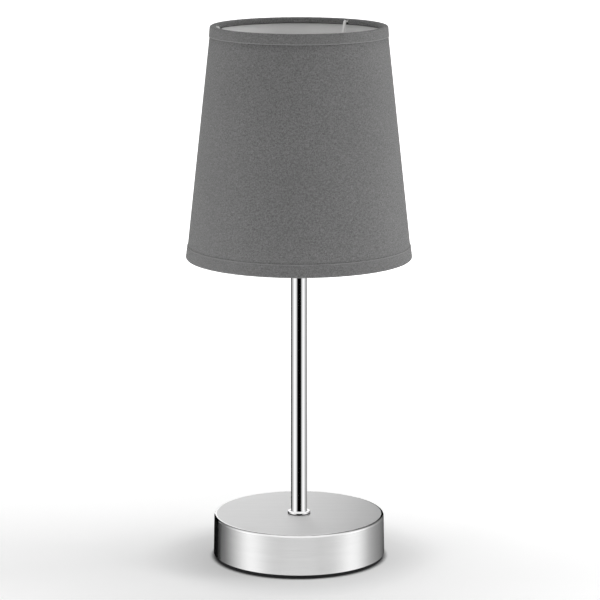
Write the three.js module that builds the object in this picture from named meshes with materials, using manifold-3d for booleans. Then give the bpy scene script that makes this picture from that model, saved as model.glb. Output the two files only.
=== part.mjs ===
// A small table lamp: disc base, straight stem, screw lampholder and a tapered fabric shade.
// Millimetres, +Z up. The origin is the centre of the underside, and the front is towards -Y.

import * as THREE from "three";
import { mergeVertices } from "three/addons/utils/BufferGeometryUtils.js";
import Module from "manifold-3d";

const wasm = await Module();
wasm.setup();

// Base: foam pad, pressed cover with a flange turned in below, and the weight inside
const BASE_DIAMETER = 107.2;
const BASE_DRAFT = 0.5;
const COVER_HEIGHT = 25;
const COVER_WALL = 1;
const COVER_EDGE_INNER_RADIUS = 0.5;
const COVER_FOOT_EDGE_RADIUS = 0.3;
const COVER_FLANGE = 6.6;
const PAD_THICKNESS = 2.2;
const PAD_INSET = 0.8;
const WEIGHT_THICKNESS = 14;
const WEIGHT_CHAMFER = 1;
const WEIGHT_ENTRY_GAP = 0.5;
const NUT_RECESS_ROOM = 3;
const NUT_RECESS_DEPTH = 8;

// Stem: a threaded lamp pipe with its collar, washers and nut
const STEM_DIAMETER = 10;
const STEM_WALL = 1;
const STEM_LENGTH = 200;
const STEM_TAIL = 1.5;
const COLLAR_WALL = 1.9;
const COLLAR_HEIGHT = 1.4;
const COLLAR_EDGE_RADIUS = 0.7;
const WASHER_DIAMETER = 22;
const WASHER_THICKNESS = 1.2;
const LOCK_WASHER_DIAMETER = 16;
const LOCK_WASHER_THICKNESS = 1;
const LOCK_WASHER_SPLIT = 1.2;
const NUT_ACROSS_FLATS = 14;
const NUT_HEIGHT = 3.5;

// Cord inlet at the rear of the base
const CABLE_BORE_DIAMETER = 5.6;
const BUSH_WALL = 0.7;
const BUSH_LIP = 0.8;
const BUSH_LIP_THICKNESS = 1.2;
const BUSH_FLANGE_STEP = 0.4;

// Lampholder: cap on the stem, threaded body with a shoulder, inner core and contacts
const CAP_HEIGHT = 18;
const CAP_WALL = 1.4;
const CAP_NECK_WALL = 2.35;
const CAP_NECK_HEIGHT = 4;
const CAP_FLARE_HEIGHT = 4.5;
const CAP_FLOOR_HEIGHT = 9;
const CAP_LEDGE_HEIGHT = 13;
const CAP_LEDGE_WIDTH = 1.6;
const STEM_GRIP = 8.5;
const HOLDER_THREAD_LENGTH = 25;
const HOLDER_WALL = 1.9;
const HOLDER_RIM_THICKNESS = 1.5;
const HOLDER_RIM_CHAMFER = 0.5;
const SHOULDER_WIDTH = 2.5;
const SHOULDER_HEIGHT = 4;
const CORE_HEIGHT = 15;
const CORE_WIRE_HOLE_DIAMETER = 5;
const CORE_GAP = 0.3;
const TERMINAL_POCKET_DEPTH = 4.5;
const TERMINAL_POCKET_WIDTH = 7;
const TERMINAL_POCKET_HEIGHT = 8;
const TERMINAL_SCREW_DIAMETER = 2.8;
const TERMINAL_SCREW_LENGTH = 3.4;
const TERMINAL_HEAD_DIAMETER = 5.2;
const TERMINAL_HEAD_HEIGHT = 1.8;
const LOCK_SCREW_DIAMETER = 2.6;
const LOCK_SCREW_HEIGHT = 2.1;
const SCREW_SHELL_WALL = 0.4;
const SCREW_SHELL_FOOT = 2;
const SCREW_SHELL_SURROUND = 2.5;
const SCREW_SHELL_TOP_GAP = 0.9;
const CONTACT_THICKNESS = 0.4;
const CONTACT_WIDTH = 4;
const CONTACT_LIFT = 2;
const CONTACT_END_GAP = 1;

// Bulb: a small opal globe on a narrow screw cap
const BULB_LENGTH = 78;
const GLOBE_DIAMETER = 45;
const BULB_NECK_DIAMETER = 15.8;
const BULB_GLASS_WALL = 0.8;
const BULB_CAP_DIAMETER = 13.8;
const BULB_CAP_WALL = 0.4;
const BULB_SKIRT_CLEARANCE = 1.3;
const BULB_SKIRT_RISE = 3.9;
const BULB_SKIRT_HEIGHT = 3.2;
const BULB_CAP_FOOT = 3.6;
const BULB_CONTACT_DIAMETER = 5.2;
const BULB_CONTACT_HEIGHT = 0.9;
const BULB_INSULATOR_HEIGHT = 4.1;
const BULB_INSULATOR_TIP_DIAMETER = 6.1;
const BULB_THREAD_GAP = 0.3;
const NECK_FLARE_SHARE = 0.5;
const GLOBE_FLARE_SHARE = 0.33;

// Shade: lined fabric cone over two wire rings, with a band folded over each
const SHADE_HEIGHT = 143;
const SHADE_TOP_DIAMETER = 107.3;
const SHADE_BOTTOM_DIAMETER = 138.6;
const SHADE_DROP = 36.7;
const FABRIC_THICKNESS = 0.4;
const LINER_THICKNESS = 0.6;
const TRIM_THICKNESS = 0.3;
const TOP_TRIM_HEIGHT = 6.4;
const BOTTOM_TRIM_HEIGHT = 8.2;
const TRIM_TURNED_LEG = 2.1;
const RING_WIRE_DIAMETER = 1.8;
const RING_WIRE_GAP = 0.15;

// Fitter: flat ring and three wire arms, held down by a fluted ring on the thread
const FITTER_THICKNESS = 1.6;
const FITTER_BORE_GAP = 0.5;
const ARM_DIAMETER = 2;
const ARM_LAP = 3.2;
const ARM_TOP_RISE = 0.3;
const ARM_FOOT_GAP = 1.3;
const ARM_FOOT_STRAIGHT = 0.2;
const ARM_BEND_RADIUS = 4;
const ARM_COUNT = 3;
const FIRST_ARM_BEARING = 35;
const CLAMP_RING_WALL = 4.2;
const CLAMP_RING_HEIGHT = 7;
const CLAMP_RING_GAP = 0.3;
const CLAMP_FLUTES = 24;
const CLAMP_FLUTE_DEPTH = 0.6;

// Clearances
const THREAD_GAP = 0.15;
const SKIN_GAP = 0.05;
const WELD_GAP = 0.1;
const RUNNING_GAP = 0.3;

// Facets
const LARGE_SIDES = 56;
const SMALL_SIDES = 28;
const BULB_SIDES = 24;
const SCREW_SIDES = 12;
const ARM_SIDES = 8;
const RING_WIRE_SIDES = 6;

// Levels and radii that follow from the sizes above
const baseRadius = BASE_DIAMETER / 2;
const baseTopRadius = baseRadius - BASE_DRAFT;
const flangeRadius = baseRadius - COVER_FLANGE;
const coverTop = PAD_THICKNESS + COVER_HEIGHT;
const weightTop = coverTop - COVER_WALL;
const weightBottom = weightTop - WEIGHT_THICKNESS;
const weightRadius = flangeRadius - WEIGHT_ENTRY_GAP;
const stemRadius = STEM_DIAMETER / 2;
const stemHoleRadius = stemRadius + THREAD_GAP;
const washerTop = weightBottom + NUT_RECESS_DEPTH;
const lockWasherTop = washerTop - WASHER_THICKNESS;
const nutTop = lockWasherTop - LOCK_WASHER_THICKNESS;
const stemBottom = nutTop - NUT_HEIGHT - STEM_TAIL;
const bushRadius = CABLE_BORE_DIAMETER / 2 + BUSH_WALL;
const bushHoleRadius = bushRadius + WELD_GAP;
const bushFlangeRadius = bushRadius + BUSH_LIP + BUSH_FLANGE_STEP;
const inletHeight = PAD_THICKNESS + COVER_WALL + bushFlangeRadius + RUNNING_GAP;
const holderFoot = stemBottom + STEM_LENGTH - STEM_GRIP;
const bulbCapRadius = BULB_CAP_DIAMETER / 2;
const bulbNeckRadius = BULB_NECK_DIAMETER / 2;
const bulbSkirtRadius = bulbNeckRadius + 2 * WELD_GAP + BULB_CAP_WALL;
const screwShellRadius = bulbCapRadius + BULB_THREAD_GAP;
const screwShellOuterRadius = screwShellRadius + SCREW_SHELL_WALL;
const holderMouthRadius = screwShellOuterRadius + 2 * RUNNING_GAP;
const holderBoreRadius = screwShellOuterRadius + SCREW_SHELL_FOOT + SCREW_SHELL_SURROUND;
const threadRadius = holderBoreRadius + HOLDER_WALL;
const capRadius = holderBoreRadius + CAP_WALL;
const capNeckRadius = stemHoleRadius + CAP_NECK_WALL;
const coreRadius = holderBoreRadius - CORE_GAP;
const bodyHeight = SHOULDER_HEIGHT + HOLDER_THREAD_LENGTH;
const seatHeight = CAP_HEIGHT + SHOULDER_HEIGHT;
const coreTop = CAP_LEDGE_HEIGHT + CORE_HEIGHT;
const holderTop = CAP_HEIGHT + bodyHeight;
const screwShellHeight = holderTop - HOLDER_RIM_THICKNESS - SCREW_SHELL_TOP_GAP - coreTop;
const bulbFoot = coreTop + CONTACT_LIFT + CONTACT_THICKNESS + RUNNING_GAP;
const bulbThreadTop = holderTop + BULB_SKIRT_CLEARANCE - bulbFoot;
const bulbSkirtFoot = bulbThreadTop + BULB_SKIRT_RISE;
const shadeBottom = -SHADE_DROP;
const shadeTop = shadeBottom + SHADE_HEIGHT;
const wallThickness = FABRIC_THICKNESS + SKIN_GAP + LINER_THICKNESS;
const ringWireRadius = RING_WIRE_DIAMETER / 2;
const armRadius = ARM_DIAMETER / 2;
const hemWidth = wallThickness + RING_WIRE_DIAMETER + 2 * (SKIN_GAP + RING_WIRE_GAP + TRIM_THICKNESS);
const hemBendRadius = ringWireRadius + TRIM_THICKNESS;
const topHem = shadeTop - hemBendRadius - SKIN_GAP;
const bottomHem = shadeBottom + hemBendRadius + SKIN_GAP;
const clampBoreRadius = threadRadius + CLAMP_RING_GAP;
const clampRadius = clampBoreRadius + CLAMP_RING_WALL;
const armFootRadius = clampRadius + ARM_FOOT_GAP;
const fitterRadius = armFootRadius + ARM_LAP;

/** A profile of [radius, height] points turned about Z. It starts and ends on the axis. */
function turned(profile, sides) {
  const points = profile.map(([radius, height]) => new THREE.Vector2(radius, height));
  return new THREE.LatheGeometry(points, sides).rotateX(Math.PI / 2);
}

/** A closed profile that stays off the axis, turned about Z. */
function turnedRing(profile, sides) {
  return turned([...profile, profile[0]], sides);
}

/** Points on an arc in the profile plane, angles in degrees from the outward direction. */
function arc(centre, radius, from, to, steps) {
  return Array.from({ length: steps + 1 }, (_, step) => {
    const angle = THREE.MathUtils.degToRad(from + ((to - from) * step) / steps);
    return [centre[0] + radius * Math.cos(angle), centre[1] + radius * Math.sin(angle)];
  });
}

/** The corners of a regular polygon, as a flat outline. */
function roundOutline(radius, sides, turn = 0) {
  return Array.from({ length: sides }, (_, side) => {
    const angle = turn + (2 * Math.PI * side) / sides;
    return new THREE.Vector2(radius * Math.cos(angle), radius * Math.sin(angle));
  });
}

/** An outline raised along Z, with round holes in it. */
function raised(outline, height, holes = []) {
  const shape = new THREE.Shape(outline);
  shape.holes = holes.map((hole) => new THREE.Path(hole));
  return new THREE.ExtrudeGeometry(shape, { depth: height, steps: 1, bevelEnabled: false });
}

/** A geometry as a solid that can be cut and joined. */
function toSolid(geometry) {
  const bare = geometry.clone();
  bare.deleteAttribute("normal");
  bare.deleteAttribute("uv");
  const merged = mergeVertices(bare, 1e-4);
  const corners = merged.getIndex().array;
  const triVerts = [];
  for (let i = 0; i < corners.length; i += 3) {
    const [a, b, c] = corners.slice(i, i + 3);
    if (a !== b && b !== c && c !== a) triVerts.push(a, b, c);
  }
  const vertProperties = new Float32Array(merged.getAttribute("position").array);
  const mesh = new wasm.Mesh({ numProp: 3, vertProperties, triVerts: new Uint32Array(triVerts) });
  return new wasm.Manifold(mesh);
}

/** One geometry with others cut out of it. */
function cut(geometry, ...tools) {
  const solid = tools.reduce((rest, tool) => rest.subtract(toSolid(tool)), toSolid(geometry));
  const { vertProperties, triVerts } = solid.getMesh();
  const result = new THREE.BufferGeometry();
  result.setAttribute("position", new THREE.BufferAttribute(vertProperties, 3));
  result.setIndex(new THREE.BufferAttribute(triVerts, 1));
  result.computeVertexNormals();
  return result;
}

/** A wire's centre line through its own points, so that a long straight takes one step. */
class BentWire extends THREE.Curve {
  constructor(points) {
    super();
    this.points = points;
  }

  getPointAt(share) {
    return this.points[Math.round(share * (this.points.length - 1))].clone();
  }

  getTangentAt(share) {
    const last = this.points.length - 1;
    const here = Math.round(share * last);
    const tangent = new THREE.Vector3();
    for (const start of [here - 1, here]) {
      if (start < 0 || start >= last) continue;
      tangent.add(this.points[start + 1].clone().sub(this.points[start]).normalize());
    }
    return tangent.normalize();
  }
}

/** A round wire swept along points. */
function wire(points, radius) {
  const section = new THREE.Shape(roundOutline(radius, ARM_SIDES, Math.PI / ARM_SIDES));
  return new THREE.ExtrudeGeometry(section, { steps: points.length - 1, extrudePath: new BentWire(points) });
}

function material(color, roughness, metalness) {
  return new THREE.MeshStandardMaterial({ color, roughness, metalness });
}

function piece(name, geometry, finish) {
  const mesh = new THREE.Mesh(geometry, finish);
  mesh.name = name;
  return mesh;
}

function assembly(height, ...parts) {
  const group = new THREE.Group();
  group.position.z = height;
  group.add(...parts);
  return group;
}

const satinSteel = () => material(0xc9c9c9, 0.3, 1);
const chrome = () => material(0xe6e6e6, 0.06, 1);
const castIron = () => material(0x4a4a4c, 0.75, 0.8);
const zincSteel = () => material(0xb4b6b8, 0.45, 0.9);
const blackFoam = () => material(0x111111, 0.95, 0);
const blackPlastic = () => material(0x16161a, 0.5, 0);
const whitePlastic = () => material(0xeceae4, 0.45, 0);
const brassMetal = () => material(0xc9a24e, 0.3, 1);
const whiteCoat = () => material(0xf1f1ef, 0.4, 0);
const greyWeave = () => material(0x6b6b6b, 0.95, 0);
const paleLiner = () => material(0xe4e4e2, 0.6, 0);
const opalGlass = () => material(0xf4f3ee, 0.2, 0);
const bareAluminium = () => material(0xbfc1c4, 0.35, 1);

// Base

function footPad() {
  const radius = baseRadius - PAD_INSET;
  const profile = [
    [0, 0],
    [radius, 0],
    [radius, PAD_THICKNESS],
    [0, PAD_THICKNESS],
  ];
  return piece("foot_pad", turned(profile, LARGE_SIDES), blackFoam());
}

function baseCover() {
  const outerEdge = COVER_EDGE_INNER_RADIUS + COVER_WALL;
  const footEdge = COVER_FOOT_EDGE_RADIUS;
  const footCentre = [baseRadius - footEdge, PAD_THICKNESS + footEdge];
  const floor = PAD_THICKNESS + COVER_WALL;
  const topCentre = [baseTopRadius - outerEdge, coverTop - outerEdge];
  const profile = [
    [flangeRadius, PAD_THICKNESS],
    ...arc(footCentre, footEdge, -90, 0, 2),
    ...arc(topCentre, outerEdge, 0, 90, 3),
    [stemHoleRadius, coverTop],
    [stemHoleRadius, weightTop],
    ...arc(topCentre, COVER_EDGE_INNER_RADIUS, 90, 0, 1),
    [baseRadius - COVER_WALL, floor],
    [flangeRadius, floor],
  ];
  const drillLength = 4 * COVER_WALL;
  const inlet = new THREE.CylinderGeometry(bushHoleRadius, bushHoleRadius, drillLength, BULB_SIDES);
  inlet.translate(0, baseRadius, inletHeight);
  return piece("base_cover", cut(turnedRing(profile, LARGE_SIDES), inlet), satinSteel());
}

function baseWeight() {
  const recess = WASHER_DIAMETER / 2 + NUT_RECESS_ROOM;
  const profile = [
    [recess, weightBottom],
    [weightRadius - WEIGHT_CHAMFER, weightBottom],
    [weightRadius, weightBottom + WEIGHT_CHAMFER],
    [weightRadius, weightTop - WEIGHT_CHAMFER],
    [weightRadius - WEIGHT_CHAMFER, weightTop],
    [stemHoleRadius, weightTop],
    [stemHoleRadius, washerTop],
    [recess, washerTop],
  ];
  return piece("base_weight", turnedRing(profile, SMALL_SIDES), castIron());
}

function cableBush() {
  const bore = CABLE_BORE_DIAMETER / 2;
  const lip = bushRadius + BUSH_LIP;
  const seat = -COVER_WALL - RUNNING_GAP - WELD_GAP;
  const profile = [
    [bore, seat - BUSH_LIP_THICKNESS],
    [lip - BUSH_FLANGE_STEP, seat - BUSH_LIP_THICKNESS],
    [lip, seat],
    [bushRadius, seat],
    [bushRadius, WELD_GAP],
    [bushFlangeRadius, WELD_GAP],
    [bushFlangeRadius - BUSH_FLANGE_STEP, WELD_GAP + BUSH_LIP_THICKNESS],
    [bore, WELD_GAP + BUSH_LIP_THICKNESS],
  ];
  const bush = piece("cable_bush", turnedRing(profile, BULB_SIDES), blackPlastic());
  bush.rotation.x = -Math.PI / 2;
  bush.position.set(0, baseRadius, inletHeight);
  return bush;
}

// Stem

function stemTube() {
  const bore = stemRadius - STEM_WALL;
  const top = stemBottom + STEM_LENGTH;
  const profile = [
    [bore, stemBottom],
    [stemRadius, stemBottom],
    [stemRadius, top],
    [bore, top],
  ];
  return piece("stem_tube", turnedRing(profile, SMALL_SIDES), chrome());
}

function footCollar() {
  const radius = stemHoleRadius + COLLAR_WALL;
  const top = coverTop + COLLAR_HEIGHT;
  const profile = [
    [stemHoleRadius, coverTop],
    [radius, coverTop],
    ...arc([radius - COLLAR_EDGE_RADIUS, top - COLLAR_EDGE_RADIUS], COLLAR_EDGE_RADIUS, 0, 90, 2),
    [stemHoleRadius, top],
  ];
  return piece("foot_collar", turnedRing(profile, SMALL_SIDES), chrome());
}

function stemWasher() {
  const outline = roundOutline(WASHER_DIAMETER / 2, SMALL_SIDES);
  const hole = roundOutline(stemHoleRadius, SMALL_SIDES);
  const washer = piece("stem_washer", raised(outline, WASHER_THICKNESS, [hole]), zincSteel());
  washer.position.z = lockWasherTop;
  return washer;
}

function stemLockWasher() {
  const radius = LOCK_WASHER_DIAMETER / 2;
  const ring = raised(roundOutline(radius, SMALL_SIDES), LOCK_WASHER_THICKNESS, [
    roundOutline(stemHoleRadius, SMALL_SIDES),
  ]);
  const split = new THREE.BoxGeometry(2 * radius, LOCK_WASHER_SPLIT, 3 * LOCK_WASHER_THICKNESS);
  split.translate(radius, 0, 0);
  const washer = piece("stem_lock_washer", cut(ring, split), zincSteel());
  washer.position.z = nutTop;
  return washer;
}

function stemNut() {
  const outline = roundOutline(NUT_ACROSS_FLATS / Math.sqrt(3), 6);
  const hole = roundOutline(stemHoleRadius, SMALL_SIDES);
  const nut = piece("stem_nut", raised(outline, NUT_HEIGHT, [hole]), zincSteel());
  nut.position.z = nutTop - NUT_HEIGHT;
  return nut;
}

// Lampholder, from the foot of its cap

function holderCap() {
  const flareTop = CAP_NECK_HEIGHT + CAP_FLARE_HEIGHT;
  const ledge = holderBoreRadius - CAP_LEDGE_WIDTH;
  const flare = new THREE.QuadraticBezierCurve(
    new THREE.Vector2(capNeckRadius, CAP_NECK_HEIGHT),
    new THREE.Vector2(capRadius, CAP_NECK_HEIGHT),
    new THREE.Vector2(capRadius, flareTop),
  );
  const profile = [
    [stemHoleRadius, 0],
    [capNeckRadius, 0],
    ...flare.getPoints(5).map((point) => [point.x, point.y]),
    [capRadius, CAP_HEIGHT],
    [holderBoreRadius, CAP_HEIGHT],
    [holderBoreRadius, CAP_LEDGE_HEIGHT],
    [ledge, CAP_LEDGE_HEIGHT],
    [ledge, CAP_FLOOR_HEIGHT],
    [stemHoleRadius, CAP_FLOOR_HEIGHT],
  ];
  const holeRadius = LOCK_SCREW_DIAMETER / 2 + THREAD_GAP;
  const hole = new THREE.CylinderGeometry(holeRadius, holeRadius, 2 * capNeckRadius, SCREW_SIDES);
  hole.translate(0, capNeckRadius, LOCK_SCREW_HEIGHT);
  return piece("holder_cap", cut(turnedRing(profile, SMALL_SIDES), hole), whitePlastic());
}

function capLockScrew() {
  const radius = LOCK_SCREW_DIAMETER / 2;
  const length = CAP_NECK_WALL;
  const screw = new THREE.CylinderGeometry(radius, radius, length, SCREW_SIDES);
  screw.translate(0, stemRadius + RUNNING_GAP + length / 2, LOCK_SCREW_HEIGHT);
  return piece("cap_lock_screw", screw, zincSteel());
}

function holderBody() {
  const shoulder = threadRadius + SHOULDER_WIDTH;
  const profile = [
    [holderBoreRadius, 0],
    [shoulder, 0],
    [shoulder, SHOULDER_HEIGHT],
    [threadRadius, SHOULDER_HEIGHT],
    [threadRadius, bodyHeight - HOLDER_RIM_CHAMFER],
    [threadRadius - HOLDER_RIM_CHAMFER, bodyHeight],
    [holderMouthRadius, bodyHeight],
    [holderMouthRadius, bodyHeight - HOLDER_RIM_THICKNESS],
    [holderBoreRadius, bodyHeight - HOLDER_RIM_THICKNESS],
  ];
  const body = piece("holder_body", turnedRing(profile, SMALL_SIDES), whitePlastic());
  body.position.z = CAP_HEIGHT;
  return body;
}

function holderCore() {
  const wireHole = CORE_WIRE_HOLE_DIAMETER / 2;
  const profile = [
    [wireHole, 0],
    [coreRadius, 0],
    [coreRadius, CORE_HEIGHT],
    [wireHole, CORE_HEIGHT],
  ];
  const pockets = [-1, 1].flatMap((side) => {
    const depth = 2 * TERMINAL_POCKET_DEPTH;
    const pocket = new THREE.BoxGeometry(depth, TERMINAL_POCKET_WIDTH, TERMINAL_POCKET_HEIGHT);
    pocket.translate(side * coreRadius, 0, CORE_HEIGHT / 2);
    const radius = TERMINAL_SCREW_DIAMETER / 2 + THREAD_GAP;
    const reach = TERMINAL_SCREW_LENGTH + RUNNING_GAP;
    const drill = new THREE.CylinderGeometry(radius, radius, 2 * reach, SCREW_SIDES);
    drill.rotateZ(Math.PI / 2);
    drill.translate(side * (coreRadius - TERMINAL_POCKET_DEPTH), 0, CORE_HEIGHT / 2);
    return [pocket, drill];
  });
  const core = piece("holder_core", cut(turnedRing(profile, SMALL_SIDES), ...pockets), whitePlastic());
  core.position.z = CAP_LEDGE_HEIGHT;
  return core;
}

function terminalScrew(name, side) {
  const shank = TERMINAL_SCREW_DIAMETER / 2;
  const head = TERMINAL_HEAD_DIAMETER / 2;
  const profile = [
    [0, -TERMINAL_SCREW_LENGTH],
    [shank, -TERMINAL_SCREW_LENGTH],
    [shank, 0],
    [head, 0],
    [head, TERMINAL_HEAD_HEIGHT],
    [0, TERMINAL_HEAD_HEIGHT],
  ];
  const screw = piece(name, turned(profile, SCREW_SIDES), brassMetal());
  const seat = coreRadius - TERMINAL_POCKET_DEPTH + RUNNING_GAP;
  screw.rotation.y = (side * Math.PI) / 2;
  screw.position.set(side * seat, 0, CAP_LEDGE_HEIGHT + CORE_HEIGHT / 2);
  return screw;
}

function screwShell() {
  const foot = screwShellOuterRadius + SCREW_SHELL_FOOT;
  const profile = [
    [screwShellRadius, 0],
    [foot, 0],
    [foot, SCREW_SHELL_WALL],
    [screwShellOuterRadius, SCREW_SHELL_WALL],
    [screwShellOuterRadius, screwShellHeight],
    [screwShellRadius, screwShellHeight],
  ];
  const shell = piece("screw_shell", turnedRing(profile, SMALL_SIDES), brassMetal());
  shell.position.z = coreTop;
  return shell;
}

function centreContact() {
  const reach = screwShellRadius - CONTACT_END_GAP;
  const tip = BULB_CONTACT_DIAMETER / 4;
  const underside = [
    [-reach, 0],
    [-reach / 2, 0],
    [-tip, CONTACT_LIFT],
    [tip, CONTACT_LIFT],
    [reach / 2, CONTACT_LIFT / 2],
  ];
  const topside = underside.map(([x, z]) => [x, z + CONTACT_THICKNESS]).reverse();
  const outline = [...underside, ...topside].map(([x, z]) => new THREE.Vector2(x, z));
  const strip = raised(outline, CONTACT_WIDTH).translate(0, 0, -CONTACT_WIDTH / 2);
  strip.rotateX(Math.PI / 2);
  const contact = piece("centre_contact", strip, brassMetal());
  contact.position.z = coreTop;
  return contact;
}

// Bulb, from the tip of its contact

/** The bulb's outline from its neck to its top, taken in by an inset. */
function globeProfile(inset) {
  const centre = BULB_LENGTH - GLOBE_DIAMETER / 2;
  const radius = GLOBE_DIAMETER / 2 - inset;
  const neck = bulbNeckRadius - inset;
  const join = radius * Math.SQRT1_2;
  const foot = bulbSkirtFoot + RUNNING_GAP;
  const rise = centre - join - foot;
  const pull = GLOBE_FLARE_SHARE * rise;
  const flare = new THREE.CubicBezierCurve(
    new THREE.Vector2(neck, foot),
    new THREE.Vector2(neck, foot + NECK_FLARE_SHARE * rise),
    new THREE.Vector2(join - pull, centre - join - pull),
    new THREE.Vector2(join, centre - join),
  );
  return [
    ...flare.getPoints(5).map((point) => [point.x, point.y]),
    ...arc([0, centre], radius, -45, 90, 6).slice(1, -1),
    [0, centre + radius],
  ];
}

function bulbGlass() {
  const profile = [...globeProfile(BULB_GLASS_WALL).reverse(), ...globeProfile(0)];
  return piece("bulb_glass", turned(profile, BULB_SIDES), opalGlass());
}

function bulbCap() {
  const outside = [
    [bulbCapRadius, BULB_CAP_FOOT],
    [bulbCapRadius, bulbThreadTop],
    [bulbSkirtRadius, bulbSkirtFoot],
    [bulbSkirtRadius, bulbSkirtFoot + BULB_SKIRT_HEIGHT],
  ];
  const inside = outside.map(([radius, height]) => [radius - BULB_CAP_WALL, height]).reverse();
  return piece("bulb_cap", turnedRing([...outside, ...inside], BULB_SIDES), bareAluminium());
}

function bulbInsulator() {
  const radius = bulbCapRadius - BULB_CAP_WALL - 2 * WELD_GAP;
  const tip = BULB_INSULATOR_TIP_DIAMETER / 2;
  const top = BULB_CONTACT_HEIGHT + BULB_INSULATOR_HEIGHT;
  const profile = [
    [0, BULB_CONTACT_HEIGHT],
    [tip, BULB_CONTACT_HEIGHT],
    [radius, BULB_CAP_FOOT],
    [radius, top],
    [0, top],
  ];
  return piece("bulb_insulator", turned(profile, BULB_SIDES), blackPlastic());
}

function bulbContact() {
  const radius = BULB_CONTACT_DIAMETER / 2;
  const profile = [
    [0, 0],
    [radius - BULB_CONTACT_HEIGHT / 2, 0],
    [radius, BULB_CONTACT_HEIGHT / 2],
    [radius, BULB_CONTACT_HEIGHT],
    [0, BULB_CONTACT_HEIGHT],
  ];
  return piece("bulb_contact", turned(profile, BULB_SIDES), brassMetal());
}

// Shade, from the seat of its fitter ring

/** The outer radius of the shade's fabric at a height. */
function fabricRadius(height) {
  const share = (height - shadeBottom) / SHADE_HEIGHT;
  return THREE.MathUtils.lerp(SHADE_BOTTOM_DIAMETER, SHADE_TOP_DIAMETER, share) / 2;
}

/** A conical sheet between the two hems, its outside set in from the fabric's. */
function coneSheet(inset, thickness) {
  const outside = [bottomHem, topHem].map((height) => [fabricRadius(height) - inset, height]);
  const inside = outside.map(([radius, height]) => [radius - thickness, height]).reverse();
  return turnedRing([...outside, ...inside], LARGE_SIDES);
}

function shadeFabric() {
  return piece("shade_fabric", coneSheet(0, FABRIC_THICKNESS), greyWeave());
}

function shadeLiner() {
  return piece("shade_liner", coneSheet(FABRIC_THICKNESS + SKIN_GAP, LINER_THICKNESS), paleLiner());
}

/** The centre radius of a ring wire, which lies against the liner. */
function wireCircleRadius(hem) {
  return fabricRadius(hem) - wallThickness - RING_WIRE_GAP - ringWireRadius;
}

function ringWire(name, hem) {
  const section = arc([wireCircleRadius(hem), hem], ringWireRadius, 0, 360, RING_WIRE_SIDES).slice(1);
  return piece(name, turnedRing(section, LARGE_SIDES), whiteCoat());
}

/**
 * The section of a band that lies on the fabric, folds over its edge and turns in round the
 * wire. Up is 1 for the top hem and -1 for the bottom one.
 */
function hemSection(hem, up, height) {
  const edge = hem + up * (hemBendRadius + SKIN_GAP);
  const free = edge - up * height;
  const bend = edge - up * hemBendRadius;
  const turnIn = bend - up * TRIM_TURNED_LEG;
  const outside = fabricRadius(hem) + SKIN_GAP + RING_WIRE_GAP + TRIM_THICKNESS;
  const inside = outside - hemWidth + fabricRadius(turnIn) - fabricRadius(bend);
  const outerBend = [outside - hemBendRadius, bend];
  const innerBend = [outside - hemWidth + hemBendRadius, bend];
  const outline = [
    [fabricRadius(free) + SKIN_GAP + TRIM_THICKNESS, free],
    ...arc(outerBend, hemBendRadius, 0, up * 90, 2),
    ...arc(innerBend, hemBendRadius, up * 90, up * 180, 2),
    [inside, turnIn],
    [inside + TRIM_THICKNESS, turnIn],
    ...arc(innerBend, ringWireRadius, up * 180, up * 90, 3),
    ...arc(outerBend, ringWireRadius, up * 90, 0, 1),
    [fabricRadius(free) + SKIN_GAP, free],
  ];
  return up > 0 ? outline : outline.reverse();
}

/** The hem's notch for an arm, where the arm is welded to the ring inside it. */
function armNotch(bearing) {
  const reach = 2 * ARM_DIAMETER;
  const height = 2 * TRIM_TURNED_LEG;
  const notch = new THREE.BoxGeometry(ARM_DIAMETER + 2 * RUNNING_GAP, reach, height);
  const outside = wireCircleRadius(topHem);
  const top = topHem + armRadius - WELD_GAP;
  notch.translate(0, outside - reach / 2, top - height / 2);
  return notch.rotateZ(THREE.MathUtils.degToRad(-bearing));
}

function topTrim() {
  const band = turnedRing(hemSection(topHem, 1, TOP_TRIM_HEIGHT), LARGE_SIDES);
  return piece("top_trim", cut(band, ...armBearings().map(armNotch)), greyWeave());
}

function bottomTrim() {
  const section = hemSection(bottomHem, -1, BOTTOM_TRIM_HEIGHT);
  return piece("bottom_trim", turnedRing(section, LARGE_SIDES), greyWeave());
}

/** Compass bearings of the arms, in degrees from the rear towards +X. */
function armBearings() {
  return Array.from({ length: ARM_COUNT }, (_, arm) => FIRST_ARM_BEARING + (360 * arm) / ARM_COUNT);
}

function fitterRing() {
  const bore = threadRadius + FITTER_BORE_GAP;
  const profile = [
    [bore, 0],
    [fitterRadius, 0],
    [fitterRadius, FITTER_THICKNESS],
    [bore, FITTER_THICKNESS],
  ];
  return piece("fitter_ring", turnedRing(profile, SMALL_SIDES), whiteCoat());
}

/** A wire that lies on the fitter ring, bends up and lies against the top ring. */
function fitterArm(name, bearing) {
  const footHeight = FITTER_THICKNESS + WELD_GAP + armRadius;
  const knee = new THREE.Vector2(armFootRadius + ARM_FOOT_STRAIGHT + ARM_BEND_RADIUS, footHeight);
  const topRadius = wireCircleRadius(topHem) - ringWireRadius - WELD_GAP - armRadius;
  const top = new THREE.Vector2(topRadius, topHem + ARM_TOP_RISE);
  const rise = top.clone().sub(knee).angle();
  const tangentLength = ARM_BEND_RADIUS * Math.tan(rise / 2);
  const bendCentre = [knee.x - tangentLength, knee.y + ARM_BEND_RADIUS];
  const riseDegrees = THREE.MathUtils.radToDeg(rise);
  const line = [
    [armFootRadius, footHeight],
    ...arc(bendCentre, ARM_BEND_RADIUS, -90, riseDegrees - 90, 4),
    [top.x, top.y],
  ];
  const path = line.map(([radius, height]) => new THREE.Vector3(0, radius, height));
  const arm = piece(name, wire(path, armRadius), whiteCoat());
  arm.rotation.z = THREE.MathUtils.degToRad(-bearing);
  return arm;
}

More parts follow.
